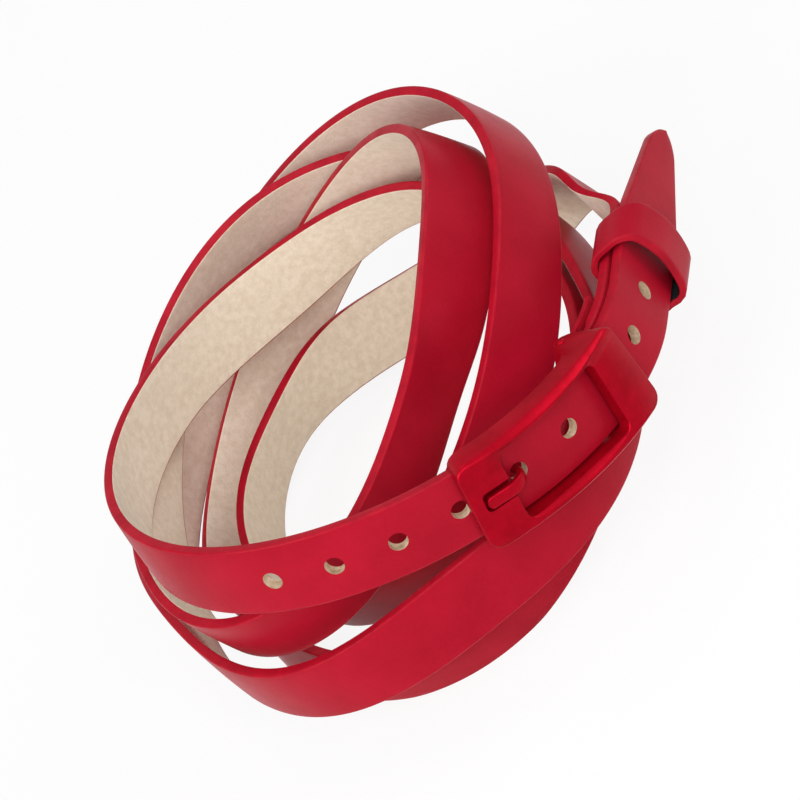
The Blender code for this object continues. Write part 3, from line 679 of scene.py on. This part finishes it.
def pin_loops(radius, half_length, dome=0.0):
    """Round loops of a pin on the bar's axis: cosine along, sine out, with a quarter arc at a domed end."""
    turn = np.linspace(0, math.pi / 2, ARC_STEPS) if dome else np.array([math.pi / 2])
    arc_radius = radius - dome * (1 - np.sin(turn))
    arc_place = half_length - dome * (1 - np.cos(turn))
    place = np.concatenate([-arc_place, arc_place[::-1]])[:, None]
    size = np.concatenate([arc_radius, arc_radius[::-1]])[:, None]
    angle = 2 * math.pi * np.arange(PIN_SIDES)[None] / PIN_SIDES
    return np.stack([BAR_AT + size * np.cos(angle), place + 0 * angle, BAR_DEPTH + size * np.sin(angle)], 2)


def oblong(start, end, half, corner, steps):
    """Loop round an oblong with rounded corners: four arcs, with even steps on the sides between them."""
    turn = np.linspace(0, math.pi / 2, ARC_STEPS + 1)
    middles = np.array([(end - corner, half - corner), (start + corner, half - corner),
                        (start + corner, corner - half), (end - corner, corner - half)])
    pieces = []
    for i, middle in enumerate(middles):
        angle = turn + i * math.pi / 2
        arc = middle + corner * np.stack([np.cos(angle), np.sin(angle)], 1)
        after = middles[(i + 1) % 4] + corner * np.array([math.cos(angle[-1]), math.sin(angle[-1])])
        share = np.linspace(0, 1, steps[i % 2] + 1)[1:-1, None]
        pieces += [arc, arc[-1] + share * (after - arc[-1])]
    return np.concatenate(pieces)


def inward_normals(loop):
    """Unit normals of a flat loop, to the left of its run, which is inside an oblong."""
    along = unit(np.roll(loop, -1, 0) - np.roll(loop, 1, 0))
    return np.stack([-along[:, 1], along[:, 0]], 1)


# Materials

def add_node(tree, kind, inputs, **settings):
    """A node with its settings. Each input takes a value, or another node's output as a link."""
    node = tree.nodes.new(kind)
    for name, value in settings.items():
        setattr(node, name, value)
    for key, value in inputs.items():
        if isinstance(value, bpy.types.NodeSocket):
            tree.links.new(value, node.inputs[key])
        else:
            node.inputs[key].default_value = value
    return node


def new_tree(name):
    material = bpy.data.materials.new(name)
    material.use_nodes = True
    material.node_tree.nodes.clear()
    return material, material.node_tree


def per_metre(millimetres):
    """Texture scale at which one feature has that size."""
    return 1 / (millimetres * MM)


def opaque(colour):
    return (*colour, 1.0)


def skin(name, main, deep, sizes, roughness, bump, shader):
    """A surface of two tones: broad patches and fine grain in colour, roughness and height.

    sizes are the patch and grain in millimetres, roughness the least and most, bump the grain's depth.
    Real pores, fibres and threads are finer, and the grain is drawn as coarse as it needs to show.
    """
    material, tree = new_tree(name)
    place = add_node(tree, "ShaderNodeTexCoord", {}).outputs["Object"]
    patch = add_node(tree, "ShaderNodeTexNoise", {
        "Vector": place, "Scale": per_metre(sizes[0]), "Detail": 3.0, "Roughness": 0.55})
    grain = add_node(tree, "ShaderNodeTexNoise", {
        "Vector": place, "Scale": per_metre(sizes[1]), "Detail": 4.0, "Roughness": 0.6})
    tone = add_node(tree, "ShaderNodeMapRange", {
        "Value": patch.outputs["Fac"], "From Min": PATCH_SPAN[0], "From Max": PATCH_SPAN[1]}, clamp=True)
    fleck = add_node(tree, "ShaderNodeMapRange", {
        "Value": grain.outputs["Fac"], "From Min": GRAIN_SPAN[0], "From Max": GRAIN_SPAN[1],
        "To Min": -GRAIN_SHARE, "To Max": GRAIN_SHARE})
    share = add_node(tree, "ShaderNodeMath", {
        0: tone.outputs[0], 1: fleck.outputs[0]}, operation="ADD", use_clamp=True)
    colour = add_node(tree, "ShaderNodeMix", {
        "Factor": share.outputs[0], 6: opaque(deep), 7: opaque(main)}, data_type="RGBA")
    gloss = add_node(tree, "ShaderNodeMapRange", {
        "Value": share.outputs[0], "To Min": roughness[1], "To Max": roughness[0]})
    height = add_node(tree, "ShaderNodeBump", {
        "Strength": 1.0, "Distance": bump * MM, "Height": grain.outputs["Fac"]})
    inputs = {"Base Color": colour.outputs[2], "Roughness": gloss.outputs[0], "Normal": height.outputs[0]}
    surface = add_node(tree, "ShaderNodeBsdfPrincipled", {**inputs, **shader})
    add_node(tree, "ShaderNodeOutputMaterial", {"Surface": surface.outputs[0]})
    return material


@functools.cache
def finished_leather():
    """Smooth calf leather, dyed and finished: even deep red, half gloss, fine pores that break its shine."""
    strap = looks().strap
    return skin("smooth_finished_calf_leather", strap.leather_colour, strap.leather_deep, (9.0, 0.35),
                (0.32, 0.40), 0.006, {"IOR": 1.48, "Specular IOR Level": 0.07})


@functools.cache
def edge_paint():
    """Edge paint, brushed on in coats: a little glossier than the leather, with a soft uneven skin."""
    strap = looks().strap
    return skin("brushed_edge_paint", strap.paint_colour, strap.leather_deep, (3.0, 0.6),
                (0.32, 0.42), 0.012, {"IOR": 1.5, "Specular IOR Level": 0.1})


@functools.cache
def suede_lining():
    """Split suede, sueded on its inner side: matt, mottled, with short fibres that catch the light."""
    strap = looks().strap
    return skin("sueded_split_leather", strap.lining_colour, strap.lining_deep, (0.9, 0.25),
                (0.88, 0.98), 0.05, {"IOR": 1.4, "Sheen Weight": 0.25, "Sheen Roughness": 0.6})


@functools.cache
def cut_leather():
    """The leather's undyed core where a punch cut it: cream, matt and fibrous."""
    strap = looks().strap
    return skin("punched_leather_core", strap.raw_colour, strap.raw_deep, (0.9, 0.25),
                (0.85, 0.95), 0.05, {"IOR": 1.4})


@functools.cache
def lacquer():
    """Cast zinc alloy under clear red lacquer: satin red reflections off the metal, darker pooled places."""
    buckle = looks().buckle
    return skin("sprayed_lacquer_on_zinc_alloy", buckle.lacquer_colour, buckle.lacquer_deep, (5.0, 0.7),
                (0.30, 0.38), 0.005, {"IOR": 1.5, "Specular IOR Level": 0.05, "Metallic": 0.5})


@functools.cache
def keeper_shade_cloth():
    """Woven backing glued inside the keeper, matt, its near-black colour painted shade for the deep shade
    inside the loop.
    """
    keeper = looks().keeper
    return skin("black_backing_cloth", keeper.lining_colour, keeper.lining_deep, (1.4, 0.3),
                (0.75, 0.9), 0.05, {"IOR": 1.4})


# The strap and the keeper's strip

def covered_section(half, leg, sizes):
    """Loop of a leather strip that covers its lining's edges, for every station at once.

    The outer face is a low crown d = top - crown f2 over f from -1 to 1. Quarter arcs take it into the
    sides, and the sides go down to two feet that leave a channel for the lining between them.
    Returns distances across and out, and which loop edges are painted edge.
    """
    top, under, bottom, crown, radius, foot, paint = sizes
    half, leg = half[:, None], leg[:, None]
    radius = np.minimum(radius, half * MOST_EDGE)
    foot = np.minimum(foot, half * MOST_ROUNDING)
    paint = np.minimum(paint, half * MOST_PAINT)
    turn = np.linspace(0, math.pi / 2, ARC_STEPS)[None]
    face = np.linspace(-1, 1, FACE_STEPS)[None]
    floor = under + leg * (bottom - under)
    level = np.zeros_like(half)
    face_across = face * (half - radius)
    face_out = top - crown * face ** 2 + level
    side_across = half - radius * (1 - np.sin(turn[:, 1:]))
    side_out = top - crown - radius * (1 - np.cos(turn[:, 1:])) + level
    foot_across = half - foot * (1 - np.cos(turn))
    foot_out = floor + foot * (1 - np.sin(turn))
    wall_across = np.repeat(half - paint, 2, 1)
    wall_out = np.concatenate([floor + FOOT_LIP * foot, under + level], 1)
    right_across = np.concatenate([side_across, foot_across, wall_across], 1)
    right_out = np.concatenate([side_out, foot_out, wall_out], 1)
    across = np.concatenate([face_across, right_across, -right_across[:, ::-1]], 1)
    out = np.concatenate([face_out, right_out, right_out[:, ::-1]], 1)
    painted = np.ones(across.shape[1], np.int32)
    painted[:FACE_STEPS - 1] = 0
    return across, out, painted


def layer_section(half, inner, outer, radius):
    """Loop of a lining: a flat inner face with quarter arcs into its sides, and a flat outer face."""
    half = half[:, None]
    turn = np.linspace(0, math.pi / 2, ARC_STEPS)[None]
    face = np.linspace(-1, 1, FACE_STEPS)[None]
    radius = np.minimum(radius, half * MOST_ROUNDING)
    level = np.zeros_like(half)
    face_across = face * (half - radius)
    side_across = np.concatenate([half - radius * (1 - np.sin(turn[:, 1:])), half], 1)
    side_out = np.concatenate([inner + radius * (1 - np.cos(turn[:, 1:])), outer + level], 1)
    across = np.concatenate([face_across, side_across, -side_across[:, ::-1]], 1)
    out = np.concatenate([inner + level + 0 * face, side_out, side_out[:, ::-1]], 1)
    return across, out


def swept(middles, across, outward, section, floor):
    """A section carried along a line, cut short along its own width where it would go under the floor."""
    aside, out = (part[..., None] for part in section)
    points = middles[:, None] + aside * across[:, None] + out * outward[:, None]
    below = np.maximum(floor - points[..., 2], 0)
    rise = np.maximum(across[:, None, 2], LEAST_RISE)
    return points + (below / rise)[..., None] * across[:, None]


def fold_stations(tail):
    """Leather folded back round the bar, from its cut end: middles, and directions across and outward."""
    back = BAR_AT + np.linspace(FOLD_LENGTH, 0, FOLD_STEPS)
    points, _, across, outward = tail.path.at(tail.start + back)
    back_middle = points + (BAR_DEPTH - FOLD_RADIUS) * outward
    point, bar_along, bar_across, bar_outward = tail.axes(BAR_AT)
    turn = np.linspace(math.pi, 0, FOLD_STEPS + 1)[1:-1, None]
    facing = np.cos(turn) * bar_outward - np.sin(turn) * bar_along
    round_middle = point + BAR_DEPTH * bar_outward + FOLD_RADIUS * facing
    middle = np.concatenate([back_middle, round_middle])
    across = np.concatenate([across, np.repeat([bar_across], len(turn), 0)])
    facing = np.concatenate([-outward, facing])
    return middle - LEATHER_MIDDLE * facing, across, facing


def punch_meshes():
    """Round tools for the row of holes: circles carried straight through the strap."""
    tail = strap_tail()
    angle = 2 * math.pi * np.arange(HOLE_SIDES) / HOLE_SIDES
    meshes = []
    for i in range(-HOLES_EACH_WAY, HOLES_EACH_WAY + 1):
        run = PRONG_HOLE_AT + i * HOLE_PITCH
        round_run, round_across = run + HOLE_RADIUS * np.cos(angle), HOLE_RADIUS * np.sin(angle)
        loops = [np.stack([round_run, round_across, np.full(HOLE_SIDES, depth)], 1)
                 for depth in (-THICKNESS, THICKNESS)]
        loops = np.array([tail.straight(loop, run) for loop in loops])
        meshes.append(new_mesh("punch", loops, False, [cut_leather()]))
    return meshes


class WRAP_STRAP_OT_leather(bpy.types.Operator):
    """Makes the strap's outer leather with its painted edges, its holes and its fold round the bar"""
    bl_idname = "wrap_strap.leather"
    bl_label = "Strap leather"

    def execute(self, context):
        tail, look = strap_tail(), looks().strap
        fold = fold_stations(tail)
        point = look.point_length / MM
        run = fine_runs(0.0, tail.path.run[-1], point)
        points, _, across, outward = tail.path.at(run)
        stations = [np.concatenate(pair) for pair in zip(fold, (points, across, outward))]
        half = np.concatenate([np.full(len(fold[0]), STRAP_WIDTH / 2), half_widths(run[-1] - run, point)])
        leg = STUB_LEG + (1 - STUB_LEG) * smooth_step(run, LINING_START - 1, LINING_START)
        leg = np.concatenate([np.full(len(fold[0]), leg[0]), leg])
        sizes = (THICKNESS / 2, LEATHER_UNDER, LINING_PROUD - THICKNESS / 2, look.crown / MM,
                 look.edge_radius / MM, look.foot_radius / MM, look.paint_width / MM)
        *section, painted = covered_section(half, leg, sizes)
        loops = swept(*stations, section, 0.0)
        thing = new_piece("strap_leather_look", loops, False, [finished_leather(), edge_paint()], painted)
        slot_low = (BAR_AT - SLOT_DEPTH, -FOLD_SLOT_WIDTH / 2, BAR_DEPTH - SLOT_DEPTH)
        slot_high = (BAR_AT + SLOT_REACH, FOLD_SLOT_WIDTH / 2, -THICKNESS)
        slot = tail.straight(box_loops(slot_low, slot_high).reshape(-1, 3), BAR_AT).reshape(2, 4, 3)
        carve(thing, punch_meshes() + [new_mesh("slot", slot, False, [cut_leather()])])
        dress(thing, "strap", ["strap_leather"])
        return {"FINISHED"}


class WRAP_STRAP_OT_lining(bpy.types.Operator):
    """Makes the strap's suede lining, set between the painted edges"""
    bl_idname = "wrap_strap.lining"
    bl_label = "Strap lining"

    def execute(self, context):
        tail, look = strap_tail(), looks().strap
        point = look.point_length / MM
        run = fine_runs(LINING_START, tail.path.run[-1] - look.paint_width / MM, point)
        points, _, across, outward = tail.path.at(run)
        inset = look.paint_width / MM + LINING_CLEARANCE
        half = np.maximum(half_widths(tail.path.run[-1] - run, point) - inset, LEAST_LINING_HALF)
        section = layer_section(half, -THICKNESS / 2, LEATHER_UNDER - LINING_CLEARANCE, LINING_ROUNDING)
        loops = swept(points, across, outward, section, inset)
        thing = new_piece("strap_lining_look", loops, False, [suede_lining()])
        carve(thing, punch_meshes())
        dress(thing, "strap", ["strap_lining"])
        return {"FINISHED"}


# The buckle

def frame_loops(look):
    """Loops of the frame, flat: up its outer wall, over two bevels with rounded edges, down the window's.

    A bevel falls as much as it is wide. Its width swells by a half sine along the upper rail's outer side
    and along the lower rail's window side, so that each carries a long lens of a facet. The walls' lower
    edges dip round the bar by a squared cosine, so that each wall carries an ear.
    """
    edge = look.edge_round / MM
    lip, drop = BEVEL_LIP * edge, BEVEL_DROP * edge
    outer = oblong(0, BUCKLE_LENGTH, FRAME_OUTER, FRAME_CORNER, RAIL_STEPS)
    window = oblong(WINDOW_START, WINDOW_END, FRAME_INNER, WINDOW_CORNER, RAIL_STEPS)

    def level(loop, depth):
        return np.column_stack([loop, np.broadcast_to(depth, (len(loop), 1))])

    def foot(loop):
        from_bar = np.clip(np.abs(loop[:, :1] - BAR_AT) / EAR_REACH, 0, 1)
        ear = BAR_DEPTH - EAR_HALF + FRAME_SKIRT
        return level(loop, ear * np.cos(from_bar * math.pi / 2) ** 2 - FRAME_SKIRT)

    inward, onward, top = inward_normals(outer), inward_normals(window), FRAME_TOP
    along_window = np.clip((window[:, :1] - WINDOW_START) / (WINDOW_END - WINDOW_START), 0, 1)
    lens = np.sin(math.pi * outer[:, :1] / BUCKLE_LENGTH) * np.maximum(-inward[:, 1:], 0) ** 4
    facet = np.sin(math.pi * along_window) * np.maximum(onward[:, 1:], 0) ** 4
    wide = (look.rail_bevel + look.rail_swell * lens) / MM
    slim = (look.window_bevel + look.rail_swell * facet) / MM
    return np.array([
        foot(outer),
        level(outer, top - wide - edge),
        level(outer + lip * inward, top - wide),
        level(outer + (wide - edge) * inward, top - edge),
        level(outer + (wide + lip) * inward, top - drop),
        level(window - (slim + lip) * onward, top - drop),
        level(window - (slim - edge) * onward, top - edge),
        level(window - lip * onward, top - slim),
        level(window, top - slim - edge),
        foot(window),
    ])


def notch_loops(look):
    """Two loops of the notch's cutter: an oblong open to the window, wider on its upper side."""
    half = NOTCH_HALF + look.notch_room / MM / 2
    notch = oblong(NOTCH_END, WINDOW_START + 2 * TOOL_OVERSHOOT, half, half * NOTCH_ROUNDING, NOTCH_STEPS)
    notch[:, 1] += half - NOTCH_HALF
    heights = (NOTCH_FLOOR, FRAME_TOP + TOOL_OVERSHOOT)
    return np.array([np.column_stack([notch, np.full(len(notch), height)]) for height in heights])


class WRAP_STRAP_OT_buckle(bpy.types.Operator):
    """Makes the lacquered frame and its bar"""
    bl_idname = "wrap_strap.buckle"
    bl_label = "Buckle frame"

    def execute(self, context):
        look, paint = looks().buckle, [lacquer()]
        thing = new_piece("buckle_frame_look", frame_loops(look), True, paint)
        channel = FRAME_INNER - WALL_INSET
        low = (-TOOL_OVERSHOOT, -channel, -2 * FRAME_TOP)
        high = (BUCKLE_LENGTH + TOOL_OVERSHOOT, channel, FRAME_BOTTOM)
        cuts = (box_loops(low, high), notch_loops(look))
        carve(thing, [new_mesh("tool", loops, False, paint) for loops in cuts])
        bend_to_tail(thing)
        dress(thing, "buckle", ["buckle_frame"])
        bar_ends = FRAME_OUTER + BAR_STAND_OUT
        bar = new_piece("pivot_bar_look", pin_loops(BAR_RADIUS, bar_ends, BAR_DOME), False, paint)
        bend_to_tail(bar)
        dress(bar, "buckle", ["pivot_bar"])
        return {"FINISHED"}


def prong_loops(look):
    """Loops of the prong, flat: a rounded bar along a smooth line from its eye, by the hole, to the notch.

    The section is a superellipse |x|^n + |y|^n = 1, n from 2 to 4. From its sixth knot to its ninth it
    flattens and widens for the notch.
    """
    hole, corner = PRONG_HOLE_AT, PRONG_BEND / 2
    rest = PRONG_REST - look.prong_sink / MM
    knots = np.array([
        (BAR_AT - BAR_RADIUS, BAR_DEPTH + corner),
        (BAR_AT - 2 * PRONG_BEND, PRONG_RUN_DEPTH),
        (hole + 3 * PRONG_BEND, PRONG_RUN_DEPTH),
        (hole + PRONG_BEND, PRONG_RUN_DEPTH),
        (hole + corner / 3, PRONG_RUN_DEPTH + corner),
        (hole, -THICKNESS / 2),
        (hole, THICKNESS / 2),
        (hole - corner / 3, rest - corner),
        (hole - PRONG_BEND, rest),
        (hole - 2 * PRONG_BEND, rest),
        (NOTCH_END + NOTCH_PLAY, rest),
    ])
    place = np.concatenate([[0], np.cumsum(np.linalg.norm(np.diff(knots, axis=0), axis=1))])
    run = place[-1] * (1 - (1 - np.linspace(0, 1, PRONG_STEPS)) ** PRONG_CROWDING)
    line = np.stack([natural_spline(place, knots[:, i], run) for i in range(2)], 1)
    along = unit(np.gradient(line, axis=0))
    angle = 2 * math.pi * (np.arange(PIN_SIDES) + 0.5) / PIN_SIDES
    flat = smooth_step(run, place[5], place[8])[:, None]
    power = 1 - 0.5 * flat
    x = np.sign(np.cos(angle)) * np.abs(np.cos(angle)) ** power
    y = np.sign(np.sin(angle)) * np.abs(np.sin(angle)) ** power
    to_end = np.clip((place[-1] - run) / PRONG_END_ROUNDING, PRONG_END_LEAST, 1)
    size = np.sqrt(1 - (1 - to_end) ** 2)[:, None]
    wide = PRONG_HALF_WIDTH + flat * (look.prong_half_width / MM - PRONG_HALF_WIDTH)
    high = PRONG_END_HEIGHT + (1 - PRONG_END_HEIGHT) * size
    rise = y * (PRONG_HALF_HEIGHT - flat * look.prong_sink / MM) * high
    return np.stack([
        line[:, :1] - along[:, 1:] * rise,
        x * wide * size - flat * look.prong_aside / MM,
        line[:, 1:] + along[:, :1] * rise,
    ], 2)


class WRAP_STRAP_OT_prong(bpy.types.Operator):
    """Makes the prong, from its eye on the bar to its flat end in the notch"""
    bl_idname = "wrap_strap.prong"
    bl_label = "Buckle prong"

    def execute(self, context):
        paint = [lacquer()]
        thing = new_piece("buckle_prong_look", prong_loops(looks().buckle), False, paint)
        eye = pin_loops(BAR_RADIUS + BAR_PLAY + PRONG_EYE_WALL, PRONG_EYE_WIDTH / 2)
        bore = pin_loops(BAR_RADIUS + BAR_PLAY, PRONG_EYE_WIDTH)
        carve(thing, [new_mesh("bore", bore, False, paint)], [new_mesh("eye", eye, False, paint)])
        bend_to_tail(thing)
        dress(thing, "prong", ["buckle_prong"])
        return {"FINISHED"}


# The keeper

def keeper_line(look):
    """Closed line of the keeper's inside in the plane across the tail, with its outward normals.

    An oblong with rounded corners, whose front is bowed by crown (1 - w2), w from side to side, and stands
    off by its slack on the right.
    """
    loop = oblong(KEEPER_BOTTOM, KEEPER_TOP, KEEPER_HALF, KEEPER_CORNER, KEEPER_STEPS)
    out, across = loop[:, 0], loop[:, 1]
    front = smooth_step(out, 0.0, KEEPER_TOP)
    out = out + front * look.crown / MM * (1 - (across / KEEPER_HALF) ** 2)
    across = across - front * look.slack / MM * smooth_step(-across, 0.0, KEEPER_HALF)
    points = np.stack([out, across], 1)
    return points, -inward_normals(points)


def keeper_loops(section, look):
    """The keeper's strip carried round its line: width runs along the tail, and depth out from the line.

    The loop leans along the tail in proportion to its height over the tail's middle.
    """
    points, normal = keeper_line(look)
    width, depth = section
    out = points[:, :1] + depth * normal[:, :1]
    across = points[:, 1:] + depth * normal[:, 1:]
    lean = look.lean / MM * out / (KEEPER_TOP - KEEPER_BOTTOM)
    flat = np.stack([KEEPER_AT + width + lean, across, out], 2)
    return strap_tail().bend(flat.reshape(-1, 3)).reshape(flat.shape)


class WRAP_STRAP_OT_keeper(bpy.types.Operator):
    """Makes the keeper: a leather strip bent to a loop, with painted edges and an inside coloured near black
    as painted shade
    """
    bl_idname = "wrap_strap.keeper"
    bl_label = "Keeper"

    def execute(self, context):
        look = looks().keeper
        count = len(keeper_line(look)[0])
        half, leg = np.full(count, KEEPER_WIDTH / 2), np.ones(count)
        under = KEEPER_LINING + GLUE_LINE
        paint = look.paint_width / MM
        sizes = (KEEPER_WALL, under, 0.0, 0.0, look.edge_radius / MM, KEEPER_FOOT_RADIUS, paint)
        *section, painted = covered_section(half, leg, sizes)
        loops = keeper_loops(section, look)
        thing = new_piece("keeper_leather_look", loops, True, [finished_leather(), edge_paint()], painted)
        dress(thing, "keeper", ["keeper_leather"])
        section = layer_section(half - paint - LINING_CLEARANCE, LINING_CLEARANCE, under - LINING_CLEARANCE,
                                KEEPER_LINING_ROUNDING)
        # The backing's near-black colour is painted shade for the inside of the loop.
        thing = new_piece("keeper_lining_look", keeper_loops(section, look), True, [keeper_shade_cloth()])
        dress(thing, "keeper", ["keeper_lining"])
        return {"FINISHED"}


# The stage

def seen_or_mirrored(tree):
    """1 for rays from the camera, from a mirroring surface or through glass, and 0 for light on the strap."""
    rays = add_node(tree, "ShaderNodeLightPath", {})
    either = add_node(tree, "ShaderNodeMath", {
        0: rays.outputs["Is Camera Ray"], 1: rays.outputs["Is Glossy Ray"]}, operation="MAXIMUM")
    either = add_node(tree, "ShaderNodeMath", {
        0: either.outputs[0], 1: rays.outputs["Is Transmission Ray"]}, operation="MAXIMUM")
    return either.outputs[0]


def floor_material(look):
    """Matt white studio floor: plain white as seen, with part of the lit surface for its shadow."""
    material, tree = new_tree("matt_studio_floor")
    share = add_node(tree, "ShaderNodeMath", {
        0: seen_or_mirrored(tree), 1: look.floor_white}, operation="MULTIPLY")
    lit = add_node(tree, "ShaderNodeBsdfDiffuse", {"Color": opaque(look.floor_colour)})
    white = add_node(tree, "ShaderNodeEmission", {"Color": (1.0, 1.0, 1.0, 1.0), "Strength": 1.0})
    mixed = add_node(tree, "ShaderNodeMixShader", {
        0: share.outputs[0], 1: lit.outputs[0], 2: white.outputs[0]})
    add_node(tree, "ShaderNodeOutputMaterial", {"Surface": mixed.outputs[0]})
    return material


def light_world(look):
    """Even light from all round, and plain white where it is seen directly or mirrored."""
    world = bpy.data.worlds.new("studio")
    world.use_nodes = True
    tree = world.node_tree
    tree.nodes.clear()
    strength = add_node(tree, "ShaderNodeMapRange", {
        "Value": seen_or_mirrored(tree), "To Min": look.sky, "To Max": 1.0})
    sky = add_node(tree, "ShaderNodeBackground", {"Strength": strength.outputs[0]})
    add_node(tree, "ShaderNodeOutputWorld", {"Surface": sky.outputs[0]})
    bpy.context.scene.world = world


def add_softbox(name, direction, power):
    """A square lamp in a direction from the strap, turned towards it."""
    lamp = bpy.data.lights.new(name, "AREA")
    lamp.size = SOFTBOX_SIZE
    lamp.energy = power
    thing = bpy.data.objects.new(name, lamp)
    towards = Vector(direction).normalized()
    thing.location = Vector(CAMERA_TARGET) + SOFTBOX_DISTANCE * towards
    thing.rotation_euler = towards.to_track_quat("Z", "Y").to_euler()
    bpy.context.scene.collection.objects.link(thing)


def add_camera():
    """A camera on a sphere round its target, rolled about its view."""
    azimuth, elevation, roll = (math.radians(x) for x in (CAMERA_AZIMUTH, CAMERA_ELEVATION, CAMERA_ROLL))
    back = Vector((math.sin(azimuth) * math.cos(elevation), -math.cos(azimuth) * math.cos(elevation),
                   math.sin(elevation)))
    level = Vector((math.cos(azimuth), math.sin(azimuth), 0))
    right = math.cos(roll) * level + math.sin(roll) * back.cross(level)
    up = back.cross(right)
    camera = bpy.data.cameras.new("camera")
    camera.angle = math.radians(CAMERA_VIEW)
    camera.clip_start = CAMERA_NEAR
    thing = bpy.data.objects.new("camera", camera)
    place = Matrix((right, up, back)).transposed().to_4x4()
    place.translation = Vector(CAMERA_TARGET) + CAMERA_DISTANCE * back
    thing.matrix_world = place
    bpy.context.scene.collection.objects.link(thing)
    bpy.context.scene.camera = thing


class WRAP_STRAP_OT_stage(bpy.types.Operator):
    """Makes the floor, the light and the camera"""
    bl_idname = "wrap_strap.stage"
    bl_label = "Stage"

    def execute(self, context):
        look = looks().stage
        corners = [(x * FLOOR_HALF, y * FLOOR_HALF, 0) for x, y in ((-1, -1), (1, -1), (1, 1), (-1, 1))]
        mesh = bpy.data.meshes.new("floor")
        mesh.from_pydata(corners, [], [(0, 1, 2, 3)])
        mesh.materials.append(floor_material(look))
        new_object("floor", mesh)
        light_world(look)
        for side, direction in LAMP_DIRECTIONS.items():
            add_softbox(side + "_light", direction, getattr(look, side + "_power"))
        add_camera()
        context.scene.view_settings.view_transform = "Standard"
        return {"FINISHED"}


class WrapStrapLooks(bpy.types.PropertyGroup):
    """All sizes and colours of the wrap strap's looks"""
    strap: PointerProperty(type=StrapLooks, name="Strap")
    buckle: PointerProperty(type=BuckleLooks, name="Buckle")
    keeper: PointerProperty(type=KeeperLooks, name="Keeper")
    stage: PointerProperty(type=StageLooks, name="Stage")


PIECES = (WRAP_STRAP_OT_leather, WRAP_STRAP_OT_lining, WRAP_STRAP_OT_buckle, WRAP_STRAP_OT_prong,
          WRAP_STRAP_OT_keeper, WRAP_STRAP_OT_stage)


class WRAP_STRAP_PT_panel(bpy.types.Panel):
    """Sizes and colours of the wrap strap, and a button for each piece"""
    bl_idname = "WRAP_STRAP_PT_panel"
    bl_label = "Wrap strap"
    bl_space_type = "VIEW_3D"
    bl_region_type = "UI"
    bl_category = "Wrap strap"

    def draw(self, context):
        for part in ("strap", "buckle", "keeper", "stage"):
            group = getattr(context.scene.wrap_strap, part)
            column = self.layout.box().column(heading=part.capitalize())
            for name in group.__annotations__:
                column.prop(group, name)
        for piece in PIECES:
            self.layout.operator(piece.bl_idname)


CLASSES = (StrapLooks, BuckleLooks, KeeperLooks, StageLooks, WrapStrapLooks, *PIECES, WRAP_STRAP_PT_panel)


def register():
    for item in CLASSES:
        bpy.utils.register_class(item)
    bpy.types.Scene.wrap_strap = PointerProperty(type=WrapStrapLooks)


def unregister():
    del bpy.types.Scene.wrap_strap
    for item in reversed(CLASSES):
        bpy.utils.unregister_class(item)


def main():
    register()
    for piece in PIECES:
        group, name = piece.bl_idname.split(".")
        getattr(getattr(bpy.ops, group), name)()
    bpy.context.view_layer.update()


if __name__ == "__main__":
    main()
